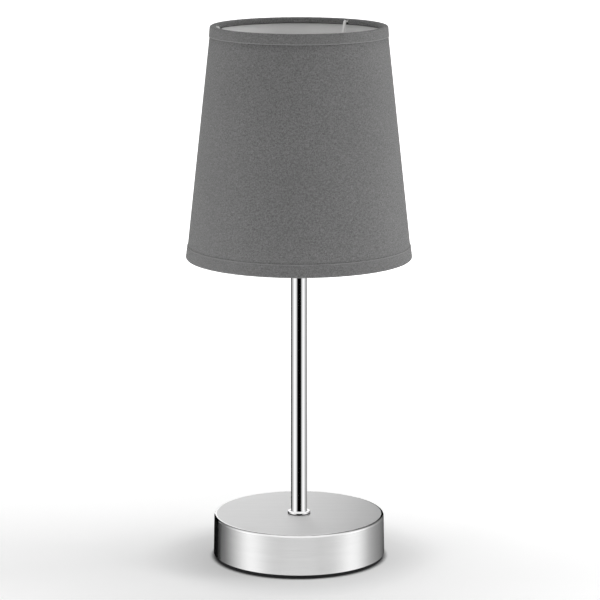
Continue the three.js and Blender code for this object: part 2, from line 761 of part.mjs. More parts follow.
function fitterArms() {
  const names = ["fitter_arm_rear_right", "fitter_arm_front_right", "fitter_arm_left"];
  return armBearings().map((bearing, arm) => fitterArm(names[arm] ?? `fitter_arm_${arm + 1}`, bearing));
}

/** The fluted ring that screws down on the fitter ring. */
function shadeRing() {
  const pointCount = CLAMP_FLUTES * 4;
  const outline = Array.from({ length: pointCount }, (_, point) => {
    const angle = (2 * Math.PI * point) / pointCount;
    const radius = clampRadius - CLAMP_FLUTE_DEPTH * (0.5 + 0.5 * Math.cos(CLAMP_FLUTES * angle));
    return new THREE.Vector2(radius * Math.cos(angle), radius * Math.sin(angle));
  });
  const hole = roundOutline(clampBoreRadius, SMALL_SIDES);
  const ring = piece("shade_ring", raised(outline, CLAMP_RING_HEIGHT, [hole]), whitePlastic());
  ring.position.z = FITTER_THICKNESS;
  return ring;
}

const lamp = assembly(
  0,
  footPad(),
  baseCover(),
  baseWeight(),
  cableBush(),
  stemTube(),
  footCollar(),
  stemWasher(),
  stemLockWasher(),
  stemNut(),
  assembly(
    holderFoot,
    holderCap(),
    capLockScrew(),
    holderBody(),
    holderCore(),
    terminalScrew("terminal_screw_left", -1),
    terminalScrew("terminal_screw_right", 1),
    screwShell(),
    centreContact(),
    assembly(bulbFoot, bulbGlass(), bulbCap(), bulbInsulator(), bulbContact()),
    assembly(
      seatHeight,
      fitterRing(),
      ...fitterArms(),
      ringWire("top_ring_wire", topHem),
      ringWire("bottom_ring_wire", bottomHem),
      shadeLiner(),
      shadeFabric(),
      topTrim(),
      bottomTrim(),
      shadeRing(),
    ),
  ),
);

export default lamp;
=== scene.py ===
"""A small table lamp: satin disc base, chrome stem, lampholder with bulb, and a lined cone shade."""

import logging
import math
from collections.abc import Callable, Sequence
from dataclasses import dataclass, field, replace
from enum import Enum

import bmesh
import bpy
import numpy as np
from mathutils import Matrix, Vector


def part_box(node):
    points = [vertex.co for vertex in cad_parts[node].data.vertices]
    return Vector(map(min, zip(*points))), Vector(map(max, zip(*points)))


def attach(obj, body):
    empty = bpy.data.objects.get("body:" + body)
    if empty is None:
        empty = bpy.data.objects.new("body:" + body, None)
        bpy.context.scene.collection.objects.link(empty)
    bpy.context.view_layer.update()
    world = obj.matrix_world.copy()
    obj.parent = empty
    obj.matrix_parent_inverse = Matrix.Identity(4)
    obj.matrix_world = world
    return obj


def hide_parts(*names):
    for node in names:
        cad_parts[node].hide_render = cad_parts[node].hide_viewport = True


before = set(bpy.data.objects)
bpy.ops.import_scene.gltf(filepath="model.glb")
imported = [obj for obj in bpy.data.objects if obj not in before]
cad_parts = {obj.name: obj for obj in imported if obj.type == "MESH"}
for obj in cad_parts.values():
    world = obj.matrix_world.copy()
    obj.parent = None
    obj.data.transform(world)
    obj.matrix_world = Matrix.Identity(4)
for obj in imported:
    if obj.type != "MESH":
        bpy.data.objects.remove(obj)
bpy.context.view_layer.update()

LOGGER = logging.getLogger("table_lamp")

MM = 0.001
FULL_TURN = 2 * math.pi
LAY_MAP = "Lay"
MERGE_DISTANCE = 1e-6
CORNER_ANGLE = 38.0
DRILL_SIDES = 64

Point = tuple[float, float]
Place = tuple[float, float, float]
Box = tuple[Vector, Vector]
Colour = tuple[float, float, float]
Relief = Callable[[np.ndarray, np.ndarray, np.ndarray], np.ndarray]
Node = bpy.types.Node
Socket = bpy.types.NodeSocket
Tree = bpy.types.NodeTree
Mesh = bpy.types.Mesh
Piece = bpy.types.Object
Feed = float | Sequence[float] | Socket


# Nodes


class Graph:
    """Adds and wires the nodes of one shader tree with short calls."""

    def __init__(self, tree: Tree) -> None:
        """Keeps the tree that the nodes go into."""
        self.tree = tree

    def feed(self, socket: Socket, value: Feed) -> None:
        """Links a socket to another one, or sets its own value.

        Args:
            socket: The input that is fed.
            value: An output socket to link, or a plain value.
        """
        if isinstance(value, Socket):
            self.tree.links.new(value, socket)
        else:
            socket.default_value = value

    def wire(self, node: Node, inputs: dict[str | int, Feed]) -> Node:
        """Feeds a node's inputs.

        Args:
            node: The node.
            inputs: What feeds its sockets, by name or number.

        Returns:
            The same node.
        """
        for key, value in inputs.items():
            self.feed(node.inputs[key], value)
        return node

    def add(self, kind: str, inputs: dict[str | int, Feed] | None = None, **settings: object) -> Node:
        """Adds a node.

        Args:
            kind: The node's type name.
            inputs: What feeds its sockets, by name or number.
            **settings: The node's own properties.

        Returns:
            The new node.
        """
        node = self.tree.nodes.new(kind)
        for name, value in settings.items():
            setattr(node, name, value)
        return self.wire(node, inputs or {})

    def math(self, operation: str, *values: Feed) -> Socket:
        """Adds a Math node and returns its result."""
        return self.add("ShaderNodeMath", dict(enumerate(values)), operation=operation).outputs[0]

    def plus(self, first: Feed, second: Feed) -> Socket:
        """Returns the sum of two numbers."""
        return self.math("ADD", first, second)

    def times(self, first: Feed, second: Feed) -> Socket:
        """Returns the product of two numbers."""
        return self.math("MULTIPLY", first, second)

    def vector_math(self, operation: str, *values: Feed) -> Socket:
        """Adds a Vector Math node and returns its vector."""
        return self.add("ShaderNodeVectorMath", dict(enumerate(values)), operation=operation).outputs[0]

    def split(self, vector: Feed) -> list[Socket]:
        """Returns a vector's three parts."""
        return list(self.add("ShaderNodeSeparateXYZ", {0: vector}).outputs)

    def combine(self, x: Feed, y: Feed, z: Feed = 0.0) -> Socket:
        """Returns a vector made of three parts."""
        return self.add("ShaderNodeCombineXYZ", {0: x, 1: y, 2: z}).outputs[0]

    def blend(self, factor: Feed, first: Feed, second: Feed) -> Socket:
        """Mixes two numbers by a factor."""
        return self.add("ShaderNodeMix", {0: factor, 2: first, 3: second}).outputs[0]

    def tint(self, factor: Feed, first: Feed, second: Feed) -> Socket:
        """Mixes two colours by a factor."""
        return self.add("ShaderNodeMix", {0: factor, 6: first, 7: second}, data_type="RGBA").outputs[2]

    def remap(
        self, value: Feed, low: float, high: float, start: float = 0.0, end: float = 1.0, smooth: bool = True
    ) -> Socket:
        """Carries a value from one range to another, held at its ends."""
        kind = "SMOOTHSTEP" if smooth else "LINEAR"
        inputs = {0: value, 1: low, 2: high, 3: start, 4: end}
        return self.add("ShaderNodeMapRange", inputs, interpolation_type=kind).outputs[0]

    def noise(self, vector: Feed, scale: Feed, detail: float = 2.0, roughness: float = 0.5) -> Socket:
        """Returns a noise texture's value."""
        inputs = {"Vector": vector, "Scale": scale, "Detail": detail, "Roughness": roughness}
        return self.add("ShaderNodeTexNoise", inputs).outputs[0]

    def bump(self, height: Feed, distance: float, strength: float = 1.0) -> Socket:
        """Returns a normal raised by a height."""
        inputs = {"Height": height, "Distance": distance, "Strength": strength}
        return self.add("ShaderNodeBump", inputs).outputs[0]

    def lay(self) -> Socket:
        """Returns the piece's flat coordinates in metres."""
        return self.add("ShaderNodeUVMap", uv_map=LAY_MAP).outputs[0]

    def place(self) -> Socket:
        """Returns the position on the piece in metres."""
        return self.add("ShaderNodeTexCoord").outputs["Object"]


class GroupKind(Enum):
    """The shader effects that several finishes share."""

    WEAVE = "plain_weave"
    GRAIN = "brushed_grain"
    DUST = "fine_dust"
    WEAR = "edge_wear"
    MOTTLE = "soft_mottle"


class SharedEffects:
    """Builds each shared node group once and places it in materials."""

    def __init__(self) -> None:
        """Starts with no group built."""
        self.trees: dict[GroupKind, Tree] = {}
        self.makers: dict[GroupKind, Callable[[str], Tree]] = {
            GroupKind.WEAVE: self._weave,
            GroupKind.GRAIN: self._grain,
            GroupKind.DUST: self._dust,
            GroupKind.WEAR: self._wear,
            GroupKind.MOTTLE: self._mottle,
        }

    def use(self, graph: Graph, kind: GroupKind, **values: Feed) -> bpy.types.NodeOutputs:
        """Places a shared effect in a material.

        Args:
            graph: The material's nodes.
            kind: The effect.
            **values: What feeds its inputs, by their names in small letters.

        Returns:
            The effect's outputs, by name.
        """
        if kind not in self.trees:
            self.trees[kind] = self.makers[kind](kind.value)
        inputs = {name.title(): value for name, value in values.items()}
        return graph.add("ShaderNodeGroup", inputs, node_tree=self.trees[kind]).outputs

    @staticmethod
    def _start(name: str, **inputs: float) -> tuple[Graph, dict[str, Socket]]:
        """Starts a node group, which always takes a position.

        Args:
            name: The group's name.
            **inputs: The names of its other inputs, with their first values.

        Returns:
            The group's nodes and its inputs by name.
        """
        graph = Graph(bpy.data.node_groups.new(name, "ShaderNodeTree"))
        interface = graph.tree.interface
        interface.new_socket("Position", in_out="INPUT", socket_type="NodeSocketVector")
        for label, value in inputs.items():
            socket = interface.new_socket(label, in_out="INPUT", socket_type="NodeSocketFloat")
            socket.default_value = value
        entry = graph.add("NodeGroupInput")
        return graph, {socket.name: socket for socket in entry.outputs if socket.name}

    @staticmethod
    def _finish(graph: Graph, **values: Socket) -> Tree:
        """Gives a node group its outputs, each with the value that feeds it, and returns the group."""
        for label in values:
            graph.tree.interface.new_socket(label, in_out="OUTPUT", socket_type="NodeSocketFloat")
        graph.wire(graph.add("NodeGroupOutput"), values)
        return graph.tree

    def _weave(self, name: str) -> Tree:
        """Plain weave: threads that pass over and under, each a little thicker or thinner."""
        graph, given = self._start(name, Pitch=0.5 * MM, Slub=0.5, Run=0.15)
        drift = graph.noise(given["Position"], 70.0)
        density = graph.math("DIVIDE", 1.0, given["Pitch"])
        spacing = graph.combine(density, density, density)
        counted = graph.vector_math("MULTIPLY", given["Position"], spacing)
        stray = graph.times(graph.math("SUBTRACT", drift, 0.5), 2.2)
        x, y, _ = graph.split(graph.vector_math("ADD", counted, graph.combine(stray, stray)))
        column, row = graph.math("FLOOR", x), graph.math("FLOOR", y)

        def thread(across: Feed, down: Feed, number: Feed, side: float) -> Socket:
            """Returns one set of threads' height."""
            hump = graph.math("ABSOLUTE", graph.math("SINE", graph.times(across, math.pi)))
            turn = graph.math("MULTIPLY_ADD", graph.plus(down, number), math.pi, -math.pi / 2)
            lift = graph.math("MULTIPLY_ADD", graph.math("COSINE", turn), side * 0.42, 0.58)
            return graph.times(hump, lift)

        warp = thread(x, y, column, 1.0)
        weft = thread(y, x, row, -1.0)
        yarn, run = 0.73, given["Run"]
        warp_place = graph.combine(graph.times(column, yarn), graph.times(y, run))
        weft_place = graph.combine(graph.times(x, run), graph.times(row, yarn), 5.3)
        warp_shade = graph.noise(warp_place, 1.0, 3.0, 0.6)
        weft_shade = graph.noise(weft_place, 1.0, 3.0, 0.6)
        shade = graph.blend(graph.math("GREATER_THAN", warp, weft), weft_shade, warp_shade)
        thick = graph.remap(shade, 0.35, 0.75)
        height = graph.math("MAXIMUM", warp, weft)
        swollen = graph.math("MULTIPLY_ADD", graph.times(thick, given["Slub"]), 0.45, height)
        return self._finish(graph, Height=swollen, Shade=shade)

    def _grain(self, name: str) -> Tree:
        """Brushed metal: long fine scratches along X of the position."""
        graph, given = self._start(name, Fineness=1500.0, Length=0.02)
        x, y, z = graph.split(given["Position"])
        long_x = graph.math("DIVIDE", x, given["Length"])
        fine_y, fine_z = (graph.times(part, given["Fineness"]) for part in (y, z))
        lines = graph.noise(graph.combine(long_x, fine_y, fine_z), 1.0, 3.0, 0.65)
        broad = (graph.times(part, share) for part, share in ((long_x, 0.4), (fine_y, 0.22), (fine_z, 0.22)))
        bands = graph.noise(graph.combine(*broad), 1.0)
        height = graph.math("MULTIPLY_ADD", bands, 0.4, lines)
        streak = graph.math("MULTIPLY_ADD", lines, 0.5, graph.times(bands, 0.5))
        return self._finish(graph, Height=height, Streak=streak)

    def _dust(self, name: str) -> Tree:
        """Fine dust: specks and a thin film that lie on what faces up."""
        graph, given = self._start(name, Amount=0.3)
        specks = graph.remap(graph.noise(given["Position"], 900.0, 1.0), 0.70, 0.78)
        film = graph.remap(graph.noise(given["Position"], 45.0, 4.0, 0.6), 0.45, 0.8, 0.0, 0.35)
        up = graph.split(graph.add("ShaderNodeNewGeometry").outputs["Normal"])[2]
        lying = graph.remap(up, 0.2, 0.9, 0.15, 1.0)
        spread = graph.times(graph.math("MAXIMUM", specks, film), lying)
        return self._finish(graph, Mask=graph.times(spread, given["Amount"]))

    def _wear(self, name: str) -> Tree:
        """Edge wear: broken rubbing on what stands out."""
        graph, given = self._start(name, Amount=0.5, Scale=300.0)
        edge = graph.remap(graph.add("ShaderNodeNewGeometry").outputs["Pointiness"], 0.51, 0.58)
        broken = graph.remap(graph.noise(given["Position"], given["Scale"], 4.0), 0.42, 0.62)
        return self._finish(graph, Mask=graph.times(graph.times(edge, broken), given["Amount"]))

    def _mottle(self, name: str) -> Tree:
        """Soft mottle: slow and quick changes of tone in one."""
        graph, given = self._start(name, Broad=25.0, Fine=700.0)
        broad, fine = (graph.noise(given["Position"], given[size], 3.0) for size in ("Broad", "Fine"))
        tone = graph.math("MULTIPLY_ADD", fine, 0.35, graph.times(broad, 0.65))
        return self._finish(graph, Tone=tone, Height=fine)


EFFECTS = SharedEffects()


# Finishes


TONE_RANGE = (0.3, 0.7)


@dataclass(frozen=True)
class Finish:
    """A named finish. Its material is built once and used by every piece that has it."""

    name: str
    colour: Colour

    def material(self) -> bpy.types.Material:
        """Returns the finish's material, built on its first use."""
        made = bpy.data.materials.get(self.name)
        if made is None:
            made = bpy.data.materials.new(self.name)
            made.use_nodes = True
            self.dress(Graph(made.node_tree), made.node_tree.nodes["Principled BSDF"])
        return made

    def dress(self, graph: Graph, shader: Node) -> None:
        """Feeds the shader's sockets.

        Args:
            graph: The material's nodes.
            shader: Its Principled BSDF.
        """
        raise NotImplementedError

    def shaded(self, gain: float, lift: float = 0.0) -> tuple[float, ...]:
        """Returns the finish's colour made darker or lighter, with its alpha."""
        return (*(min(1.0, part * gain + lift) for part in self.colour), 1.0)

    def toned(self, graph: Graph, tone: Feed, spread: float) -> Socket:
        """Returns the finish's colour, which a tone makes a little darker or lighter."""
        share = graph.remap(tone, *TONE_RANGE, smooth=False)
        return graph.tint(share, self.shaded(1 - spread), self.shaded(1 + spread))


@dataclass(frozen=True)
class BrushedMetal(Finish):
    """Metal with fine brushed scratches, along the lay of the piece or straight across it."""

    roughness: float
    anisotropy: float = 0.0
    along_lay: bool = True
    fineness: float = 1500.0
    scratch_depth: float = 0.0006 * MM
    dust_colour: Colour = (0.75, 0.74, 0.72)

    def dress(self, graph: Graph, shader: Node) -> None:
        """Feeds the shader with grain, faint dust and a little wear."""
        place = graph.place()
        brushed = graph.lay() if self.along_lay else place
        grain = EFFECTS.use(graph, GroupKind.GRAIN, position=brushed, fineness=self.fineness)
        worn = EFFECTS.use(graph, GroupKind.WEAR, position=place, amount=0.25)["Mask"]
        dusty = EFFECTS.use(graph, GroupKind.DUST, position=place, amount=0.12)["Mask"]
        rubbed = graph.tint(worn, self.toned(graph, grain["Streak"], 0.035), self.shaded(1.08))
        smooth, dull = self.roughness * 0.92, self.roughness * 1.08
        rough = graph.remap(grain["Streak"], *TONE_RANGE, smooth, dull, smooth=False)
        graph.wire(shader, {
            "Base Color": graph.tint(dusty, rubbed, (*self.dust_colour, 1.0)),
            "Metallic": 1.0,
            "Roughness": graph.plus(rough, graph.times(dusty, 0.3)),
            "Anisotropic": self.anisotropy,
            "Anisotropic Rotation": 0.25 if self.anisotropy else 0.0,
            "Normal": graph.bump(grain["Height"], self.scratch_depth),
        })


@dataclass(frozen=True)
class PolishedMetal(Finish):
    """Plated or polished metal with a faint haze and hair scratches, and a painted shadow in the seam at its
    foot.
    """

    roughness: float = 0.05
    scratch_depth: float = 0.00008 * MM
    seam_below: float = 0.0
    seam_blur: float = 0.1 * MM
    seam_colour: Colour = (0.03, 0.03, 0.03)

    def dress(self, graph: Graph, shader: Node) -> None:
        """Feeds the shader with a slow haze, specks and the painted shadow at the foot."""
        place = graph.place()
        tone = EFFECTS.use(graph, GroupKind.MOTTLE, position=place, broad=30.0, fine=450.0)["Tone"]
        grain = EFFECTS.use(graph, GroupKind.GRAIN, position=graph.lay(), fineness=2600.0, length=0.05)
        dusty = EFFECTS.use(graph, GroupKind.DUST, position=place, amount=0.06)["Mask"]
        plated = self.toned(graph, tone, 0.015)
        # Painted shadow: below this height the metal turns dark, standing in for the shade in the seam.
        if self.seam_below:
            low, high = self.seam_below - self.seam_blur, self.seam_below + self.seam_blur
            seam = graph.remap(graph.split(place)[2], low, high, 1.0, 0.0)
            plated = graph.tint(seam, plated, (*self.seam_colour, 1.0))
        rough = graph.remap(tone, 0.35, 0.7, self.roughness * 0.8, self.roughness * 1.35)
        graph.wire(shader, {
            "Base Color": plated,
            "Metallic": 1.0,
            "Roughness": graph.plus(rough, graph.times(dusty, 0.5)),
            "Normal": graph.bump(grain["Height"], self.scratch_depth),
        })


@dataclass(frozen=True)
class MottledFinish(Finish):
    """A finish whose tone, gloss and relief follow one soft mottle, under rubbed edges and dust."""

    roughness: float = 0.4
    fine: float = 2400.0
    depth: float = 0.012 * MM
    broad: float = 18.0
    relief: str = "Height"
    tone_spread: float = 0.03
    gloss_spread: float = 0.1
    wear: float = 0.0
    worn_gain: float = 1.0
    worn_lift: float = 0.0
    dust: float = 0.0
    dust_colour: Colour = (0.5, 0.5, 0.5)
    constants: tuple[tuple[str, float], ...] = ()

    def dress(self, graph: Graph, shader: Node) -> None:
        """Feeds the shader with the mottle, the rubbed edges, the dust and the plain values."""
        place = graph.place()
        mottle = EFFECTS.use(graph, GroupKind.MOTTLE, position=place, broad=self.broad, fine=self.fine)
        colour = self.toned(graph, mottle["Tone"], self.tone_spread)
        if self.wear:
            worn = EFFECTS.use(graph, GroupKind.WEAR, position=place, amount=self.wear)["Mask"]
            colour = graph.tint(worn, colour, self.shaded(self.worn_gain, self.worn_lift))
        if self.dust:
            dusty = EFFECTS.use(graph, GroupKind.DUST, position=place, amount=self.dust)["Mask"]
            colour = graph.tint(dusty, colour, (*self.dust_colour, 1.0))
        smooth = self.roughness * (1 - self.gloss_spread)
        dull = min(1.0, self.roughness * (1 + self.gloss_spread))
        graph.wire(shader, {
            "Base Color": colour,
            "Roughness": graph.remap(mottle["Tone"], *TONE_RANGE, smooth, dull),
            "Normal": graph.bump(mottle[self.relief], self.depth),
            **dict(self.constants),
        })


@dataclass(frozen=True)
class RoughMetal(MottledFinish):
    """Cast or zinc-plated metal with a grainy skin."""

    broad: float = 60.0
    tone_spread: float = 0.18
    gloss_spread: float = 0.15
    wear: float = 0.5
    worn_gain: float = 1.5
    constants: tuple[tuple[str, float], ...] = (("Metallic", 1.0),)


@dataclass(frozen=True)
class MouldedPlastic(MottledFinish):
    """Moulded plastic with a fine sparked skin."""

    wear: float = 0.3
    worn_gain: float = 1.12
    worn_lift: float = 0.01
    dust: float = 0.2
    dust_colour: Colour = (0.42, 0.41, 0.39)


@dataclass(frozen=True)
class PowderCoat(MottledFinish):
    """Baked powder paint with its slight orange peel and a thin coat."""

    roughness: float = 0.38
    fine: float = 1300.0
    depth: float = 0.03 * MM
    broad: float = 40.0
    tone_spread: float = 0.025
    gloss_spread: float = 0.15
    dust: float = 0.18
    dust_colour: Colour = (0.5, 0.49, 0.47)
    constants: tuple[tuple[str, float], ...] = (("Coat Weight", 0.15), ("Coat Roughness", 0.2))


@dataclass(frozen=True)
class OpalGlass(MottledFinish):
    """White opal glass with slow streaks of the melt, under a clear glossy skin."""

    roughness: float = 0.16
    fine: float = 160.0
    depth: float = 0.05 * MM
    broad: float = 35.0
    relief: str = "Tone"
    tone_spread: float = 0.02
    gloss_spread: float = 0.25
    dust: float = 0.12
    dust_colour: Colour = (0.55, 0.54, 0.52)
    constants: tuple[tuple[str, float], ...] = (
        ("Subsurface Weight", 0.25),
        ("Subsurface Scale", 2 * MM),
        ("Coat Weight", 0.4),
        ("Coat Roughness", 0.04),
    )


@dataclass(frozen=True)
class WovenCloth(Finish):
    """Plain woven cloth with slubs, faint lint, a soft sheen and, on a band, a painted highlight along its
    free edge.
    """

    pitch: float = 0.5 * MM
    slub: float = 0.6
    contrast: float = 0.30
    roughness: tuple[float, float] = (0.86, 0.98)
    depth: float = 0.22 * MM
    light_edge: float = 0.0
    lint_colour: Colour = (0.45, 0.44, 0.43)

    def dress(self, graph: Graph, shader: Node) -> None:
        """Feeds the shader with threads, painted shade in the gaps between them, slubs, lint and, on a band,
        a painted highlight along its free edge.
        """
        lay = graph.lay()
        weave = EFFECTS.use(graph, GroupKind.WEAVE, position=lay, pitch=self.pitch, slub=self.slub, run=0.35)
        mottle = EFFECTS.use(graph, GroupKind.MOTTLE, position=lay, broad=22.0, fine=700.0)
        lint = EFFECTS.use(graph, GroupKind.DUST, position=graph.place(), amount=0.1)["Mask"]
        threads = self.toned(graph, weave["Shade"], self.contrast)
        # Painted shade: the gaps between threads are darkened.
        gap_shade = graph.remap(weave["Height"], 0.1, 0.55, 0.45, 0.0)
        gap_shaded = graph.tint(gap_shade, threads, self.shaded(0.25))
        clouded = graph.tint(graph.remap(mottle["Tone"], 0.35, 0.65, 0.0, 0.16), gap_shaded, self.shaded(0.7))
        # Painted highlight: a lighter line along the band's free edge.
        if self.light_edge:
            edge = graph.remap(graph.split(lay)[1], self.light_edge * 0.5, self.light_edge, 0.8, 0.0)
            clouded = graph.tint(edge, clouded, self.shaded(1.5))
        graph.wire(shader, {
            "Base Color": graph.tint(lint, clouded, (*self.lint_colour, 1.0)),
            "Roughness": graph.remap(weave["Shade"], *TONE_RANGE, *self.roughness),
            "Specular IOR Level": 0.25,
            "Sheen Weight": 0.25,
            "Sheen Roughness": 0.45,
            "Normal": graph.bump(weave["Height"], self.depth, 0.8),
        })


@dataclass(frozen=True)
class LinerFilm(Finish):
    """Stiff film under the shade's cloth, painted dark at each band: behind it, and as a painted shadow just
    past it.
    """

    roughness: tuple[float, float] = (0.45, 0.55)
    depth: float = 0.04 * MM
    tucked: tuple[float, float] = (0.0, 1.0)
    tuck_blur: float = 0.15 * MM
    tuck_colour: Colour = (0.05, 0.05, 0.05)
    dust_colour: Colour = (0.45, 0.44, 0.42)

    def dress(self, graph: Graph, shader: Node) -> None:
        """Feeds the shader with the film's slow waves, the cloth's print-through and the painted shadow along
        the bands.
        """
        lay = graph.lay()
        mottle = EFFECTS.use(graph, GroupKind.MOTTLE, position=lay, broad=14.0, fine=380.0)
        weave = EFFECTS.use(graph, GroupKind.WEAVE, position=lay, pitch=0.5 * MM, slub=0.4)
        dusty = EFFECTS.use(graph, GroupKind.DUST, position=graph.place(), amount=0.15)["Mask"]
        soiled = graph.tint(dusty, self.toned(graph, mottle["Tone"], 0.03), (*self.dust_colour, 1.0))
        height = graph.split(graph.place())[2]
        # Painted shadow: outside this span of heights the film turns dark, behind the bands and in a painted
        # shadow line just past their curled edges.
        low, high = self.tucked
        below = graph.remap(height, low, low + self.tuck_blur, 1.0, 0.0)
        above = graph.remap(height, high - self.tuck_blur, high)
        raised = graph.math("MULTIPLY_ADD", weave["Height"], 0.15, mottle["Height"])
        graph.wire(shader, {
            "Base Color": graph.tint(graph.plus(below, above), soiled, (*self.tuck_colour, 1.0)),
            "Roughness": graph.remap(mottle["Tone"], *TONE_RANGE, *self.roughness),
            "Normal": graph.bump(raised, self.depth),
        })


@dataclass(frozen=True)
class FoamRubber(Finish):
    """Closed-cell foam with open pores."""

    roughness: tuple[float, float] = (0.82, 0.96)
    depth: float = 0.12 * MM
    dust_colour: Colour = (0.2, 0.2, 0.19)

    def dress(self, graph: Graph, shader: Node) -> None:
        """Feeds the shader with pores, painted shade in them, and dust."""
        place = graph.place()
        cells = graph.add("ShaderNodeTexVoronoi", {"Vector": place, "Scale": 1500.0}).outputs["Distance"]
        tone = EFFECTS.use(graph, GroupKind.MOTTLE, position=place, broad=35.0, fine=800.0)["Tone"]
        dusty = EFFECTS.use(graph, GroupKind.DUST, position=place, amount=0.15)["Mask"]
        # Painted shade: the pores are darkened.
        solid = graph.remap(cells, 0.15, 0.5, 0.0, 0.6)
        pores = graph.tint(solid, self.shaded(0.3), self.toned(graph, tone, 0.25))
        graph.wire(shader, {
            "Base Color": graph.tint(dusty, pores, (*self.dust_colour, 1.0)),
            "Roughness": graph.remap(tone, *TONE_RANGE, *self.roughness),
            "Specular IOR Level": 0.3,
            "Normal": graph.bump(cells, self.depth),
        })


SATIN_SIDE = BrushedMetal("satin_steel_side", (0.80, 0.80, 0.80), 0.25, anisotropy=1.0)
SATIN_TOP = BrushedMetal("satin_steel_top", (0.80, 0.80, 0.80), 0.46, along_lay=False, fineness=1800.0)
EDGE_POLISH = PolishedMetal("polished_steel_edge", (0.88, 0.88, 0.88), 0.07)
CHROME = PolishedMetal("chrome_plate", (0.93, 0.93, 0.935), 0.03)
CAST_IRON = RoughMetal("cast_iron", (0.07, 0.07, 0.072), 0.75, 700.0, 0.15 * MM)
ZINC = RoughMetal("zinc_plated_steel", (0.46, 0.47, 0.48), 0.42, 1600.0, 0.01 * MM)
BRASS = RoughMetal("contact_brass", (0.58, 0.37, 0.10), 0.3, 1500.0, 0.006 * MM)
ALUMINIUM = RoughMetal("bare_aluminium", (0.52, 0.53, 0.55), 0.32, 1400.0, 0.008 * MM)
BLACK_PLASTIC = MouldedPlastic("black_plastic", (0.012, 0.012, 0.013), 0.42)
WHITE_PLASTIC = MouldedPlastic("white_plastic", (0.76, 0.75, 0.72), 0.4)
WHITE_COAT = PowderCoat("white_powder_coat", (0.92, 0.92, 0.91))
GREY_CLOTH = WovenCloth("grey_woven_cloth", (0.204, 0.204, 0.204), contrast=0.47)
TRIM_CLOTH = WovenCloth(
    "grey_trim_cloth", (0.205, 0.205, 0.205), pitch=0.45 * MM, slub=0.45, contrast=0.45, light_edge=0.7 * MM
)
PALE_FILM = LinerFilm("pale_liner_film", (0.86, 0.86, 0.855))
PAD_FOAM = FoamRubber("black_pad_foam", (0.014, 0.014, 0.015))
OPAL = OpalGlass("white_opal_glass", (0.80, 0.79, 0.76))


# Mesh making


def on_arc(centre: Point, radius: float, start: float, end: float, count: int) -> list[Point]:
    """Returns points on an arc of the profile plane, with angles in degrees from outward."""
    angles = np.radians(np.linspace(start, end, count + 1))
    return [(centre[0] + radius * math.cos(a), centre[1] + radius * math.sin(a)) for a in angles]


def rounded(corner: Point, radius: float, start: float, count: int) -> list[Point]:
    """Returns a quarter arc that rounds a square corner of a profile.

    Args:
        corner: The corner that is cut off.
        radius: The arc's radius.
        start: The angle that the arc starts at: -90 outside below, 0 outside above, 90 inside above
            and 180 inside below.
        count: The number of its steps.
    """
    middle = math.radians(start + 45.0)
    right, up = math.copysign(radius, math.cos(middle)), math.copysign(radius, math.sin(middle))
    return on_arc((corner[0] - right, corner[1] - up), radius, start, start + 90.0, count)


def on_bezier(controls: Sequence[Point], count: int) -> list[Point]:
    """Returns points on a Bezier curve of three or four control points."""
    share = np.linspace(0.0, 1.0, count + 1)[:, None]
    points = np.array(controls, dtype=float)
    order = len(controls) - 1
    weights = [math.comb(order, k) * (1 - share) ** (order - k) * share**k for k in range(order + 1)]
    return [tuple(point) for point in sum(w * p for w, p in zip(weights, points))]


def along(start: Point, end: Point, step: float) -> list[Point]:
    """Returns points at even steps on a straight line, both ends among them."""
    count = max(1, math.ceil(math.dist(start, end) / step))
    return [tuple(point) for point in np.linspace(start, end, count + 1)]


def travel(path: np.ndarray) -> np.ndarray:
    """Returns how far each point of a path lies along it."""
    return np.concatenate([[0.0], np.cumsum(np.linalg.norm(np.diff(path, axis=0), axis=1))])


def rolled_out(width: float, columns: int, heights: np.ndarray) -> np.ndarray:
    """Returns the flat coordinates of a skin that is rolled out from round its piece."""
    return np.stack(np.meshgrid(np.linspace(0.0, width, columns + 1), heights), axis=-1)


def about_axis(radius: np.ndarray, angle: np.ndarray, height: np.ndarray) -> np.ndarray:
    """Returns points in space from their radius, angle and height."""
    return np.stack([radius * np.cos(angle), radius * np.sin(angle), height], axis=-1)


def to_object(name: str, mesh: Mesh, sharp: float = CORNER_ANGLE) -> Piece:
    """Puts a mesh in the scene with smooth faces and sharp corners.

    Args:
        name: The piece's name.
        mesh: Its mesh.
        sharp: The angle in degrees from which an edge shows as a corner.

    Returns:
        The new object.
    """
    mesh.shade_smooth()
    mesh.set_sharp_from_angle(angle=math.radians(sharp))
    piece = bpy.data.objects.new(name, mesh)
    bpy.context.collection.objects.link(piece)
    return piece


def grid(name: str, points: np.ndarray, lay: np.ndarray, close_rows: bool, close_columns: bool) -> Mesh:
    """Builds a mesh from rows and columns of points.

    Args:
        name: The mesh's name.
        points: Points as rows, columns, 3.
        lay: Flat coordinates as rows, columns, 2, with one more of each where it closes.
        close_rows: Whether the last row joins the first.
        close_columns: Whether the last column joins the first.

    Returns:
        The mesh, with its doubled points merged and its faces turned out.
    """
    rows, columns = points.shape[:2]
    index = np.arange(rows * columns).reshape(rows, columns)
    if close_rows:
        index = np.vstack([index, index[:1]])
    if close_columns:
        index = np.hstack([index, index[:, :1]])
    faces = np.stack([index[:-1, :-1], index[:-1, 1:], index[1:, 1:], index[1:, :-1]], axis=-1)
    corners = np.stack([lay[:-1, :-1], lay[:-1, 1:], lay[1:, 1:], lay[1:, :-1]], axis=2)
    mesh = bpy.data.meshes.new(name)
    mesh.from_pydata(points.reshape(-1, 3).tolist(), [], faces.reshape(-1, 4).tolist())
    layer = mesh.uv_layers.new(name=LAY_MAP)
    layer.uv.foreach_set("vector", corners.astype(np.float32).ravel())
    work = bmesh.new()
    work.from_mesh(mesh)
    bmesh.ops.remove_doubles(work, verts=work.verts, dist=MERGE_DISTANCE)
    bmesh.ops.recalc_face_normals(work, faces=work.faces)
    work.to_mesh(mesh)
    work.free()
    return mesh


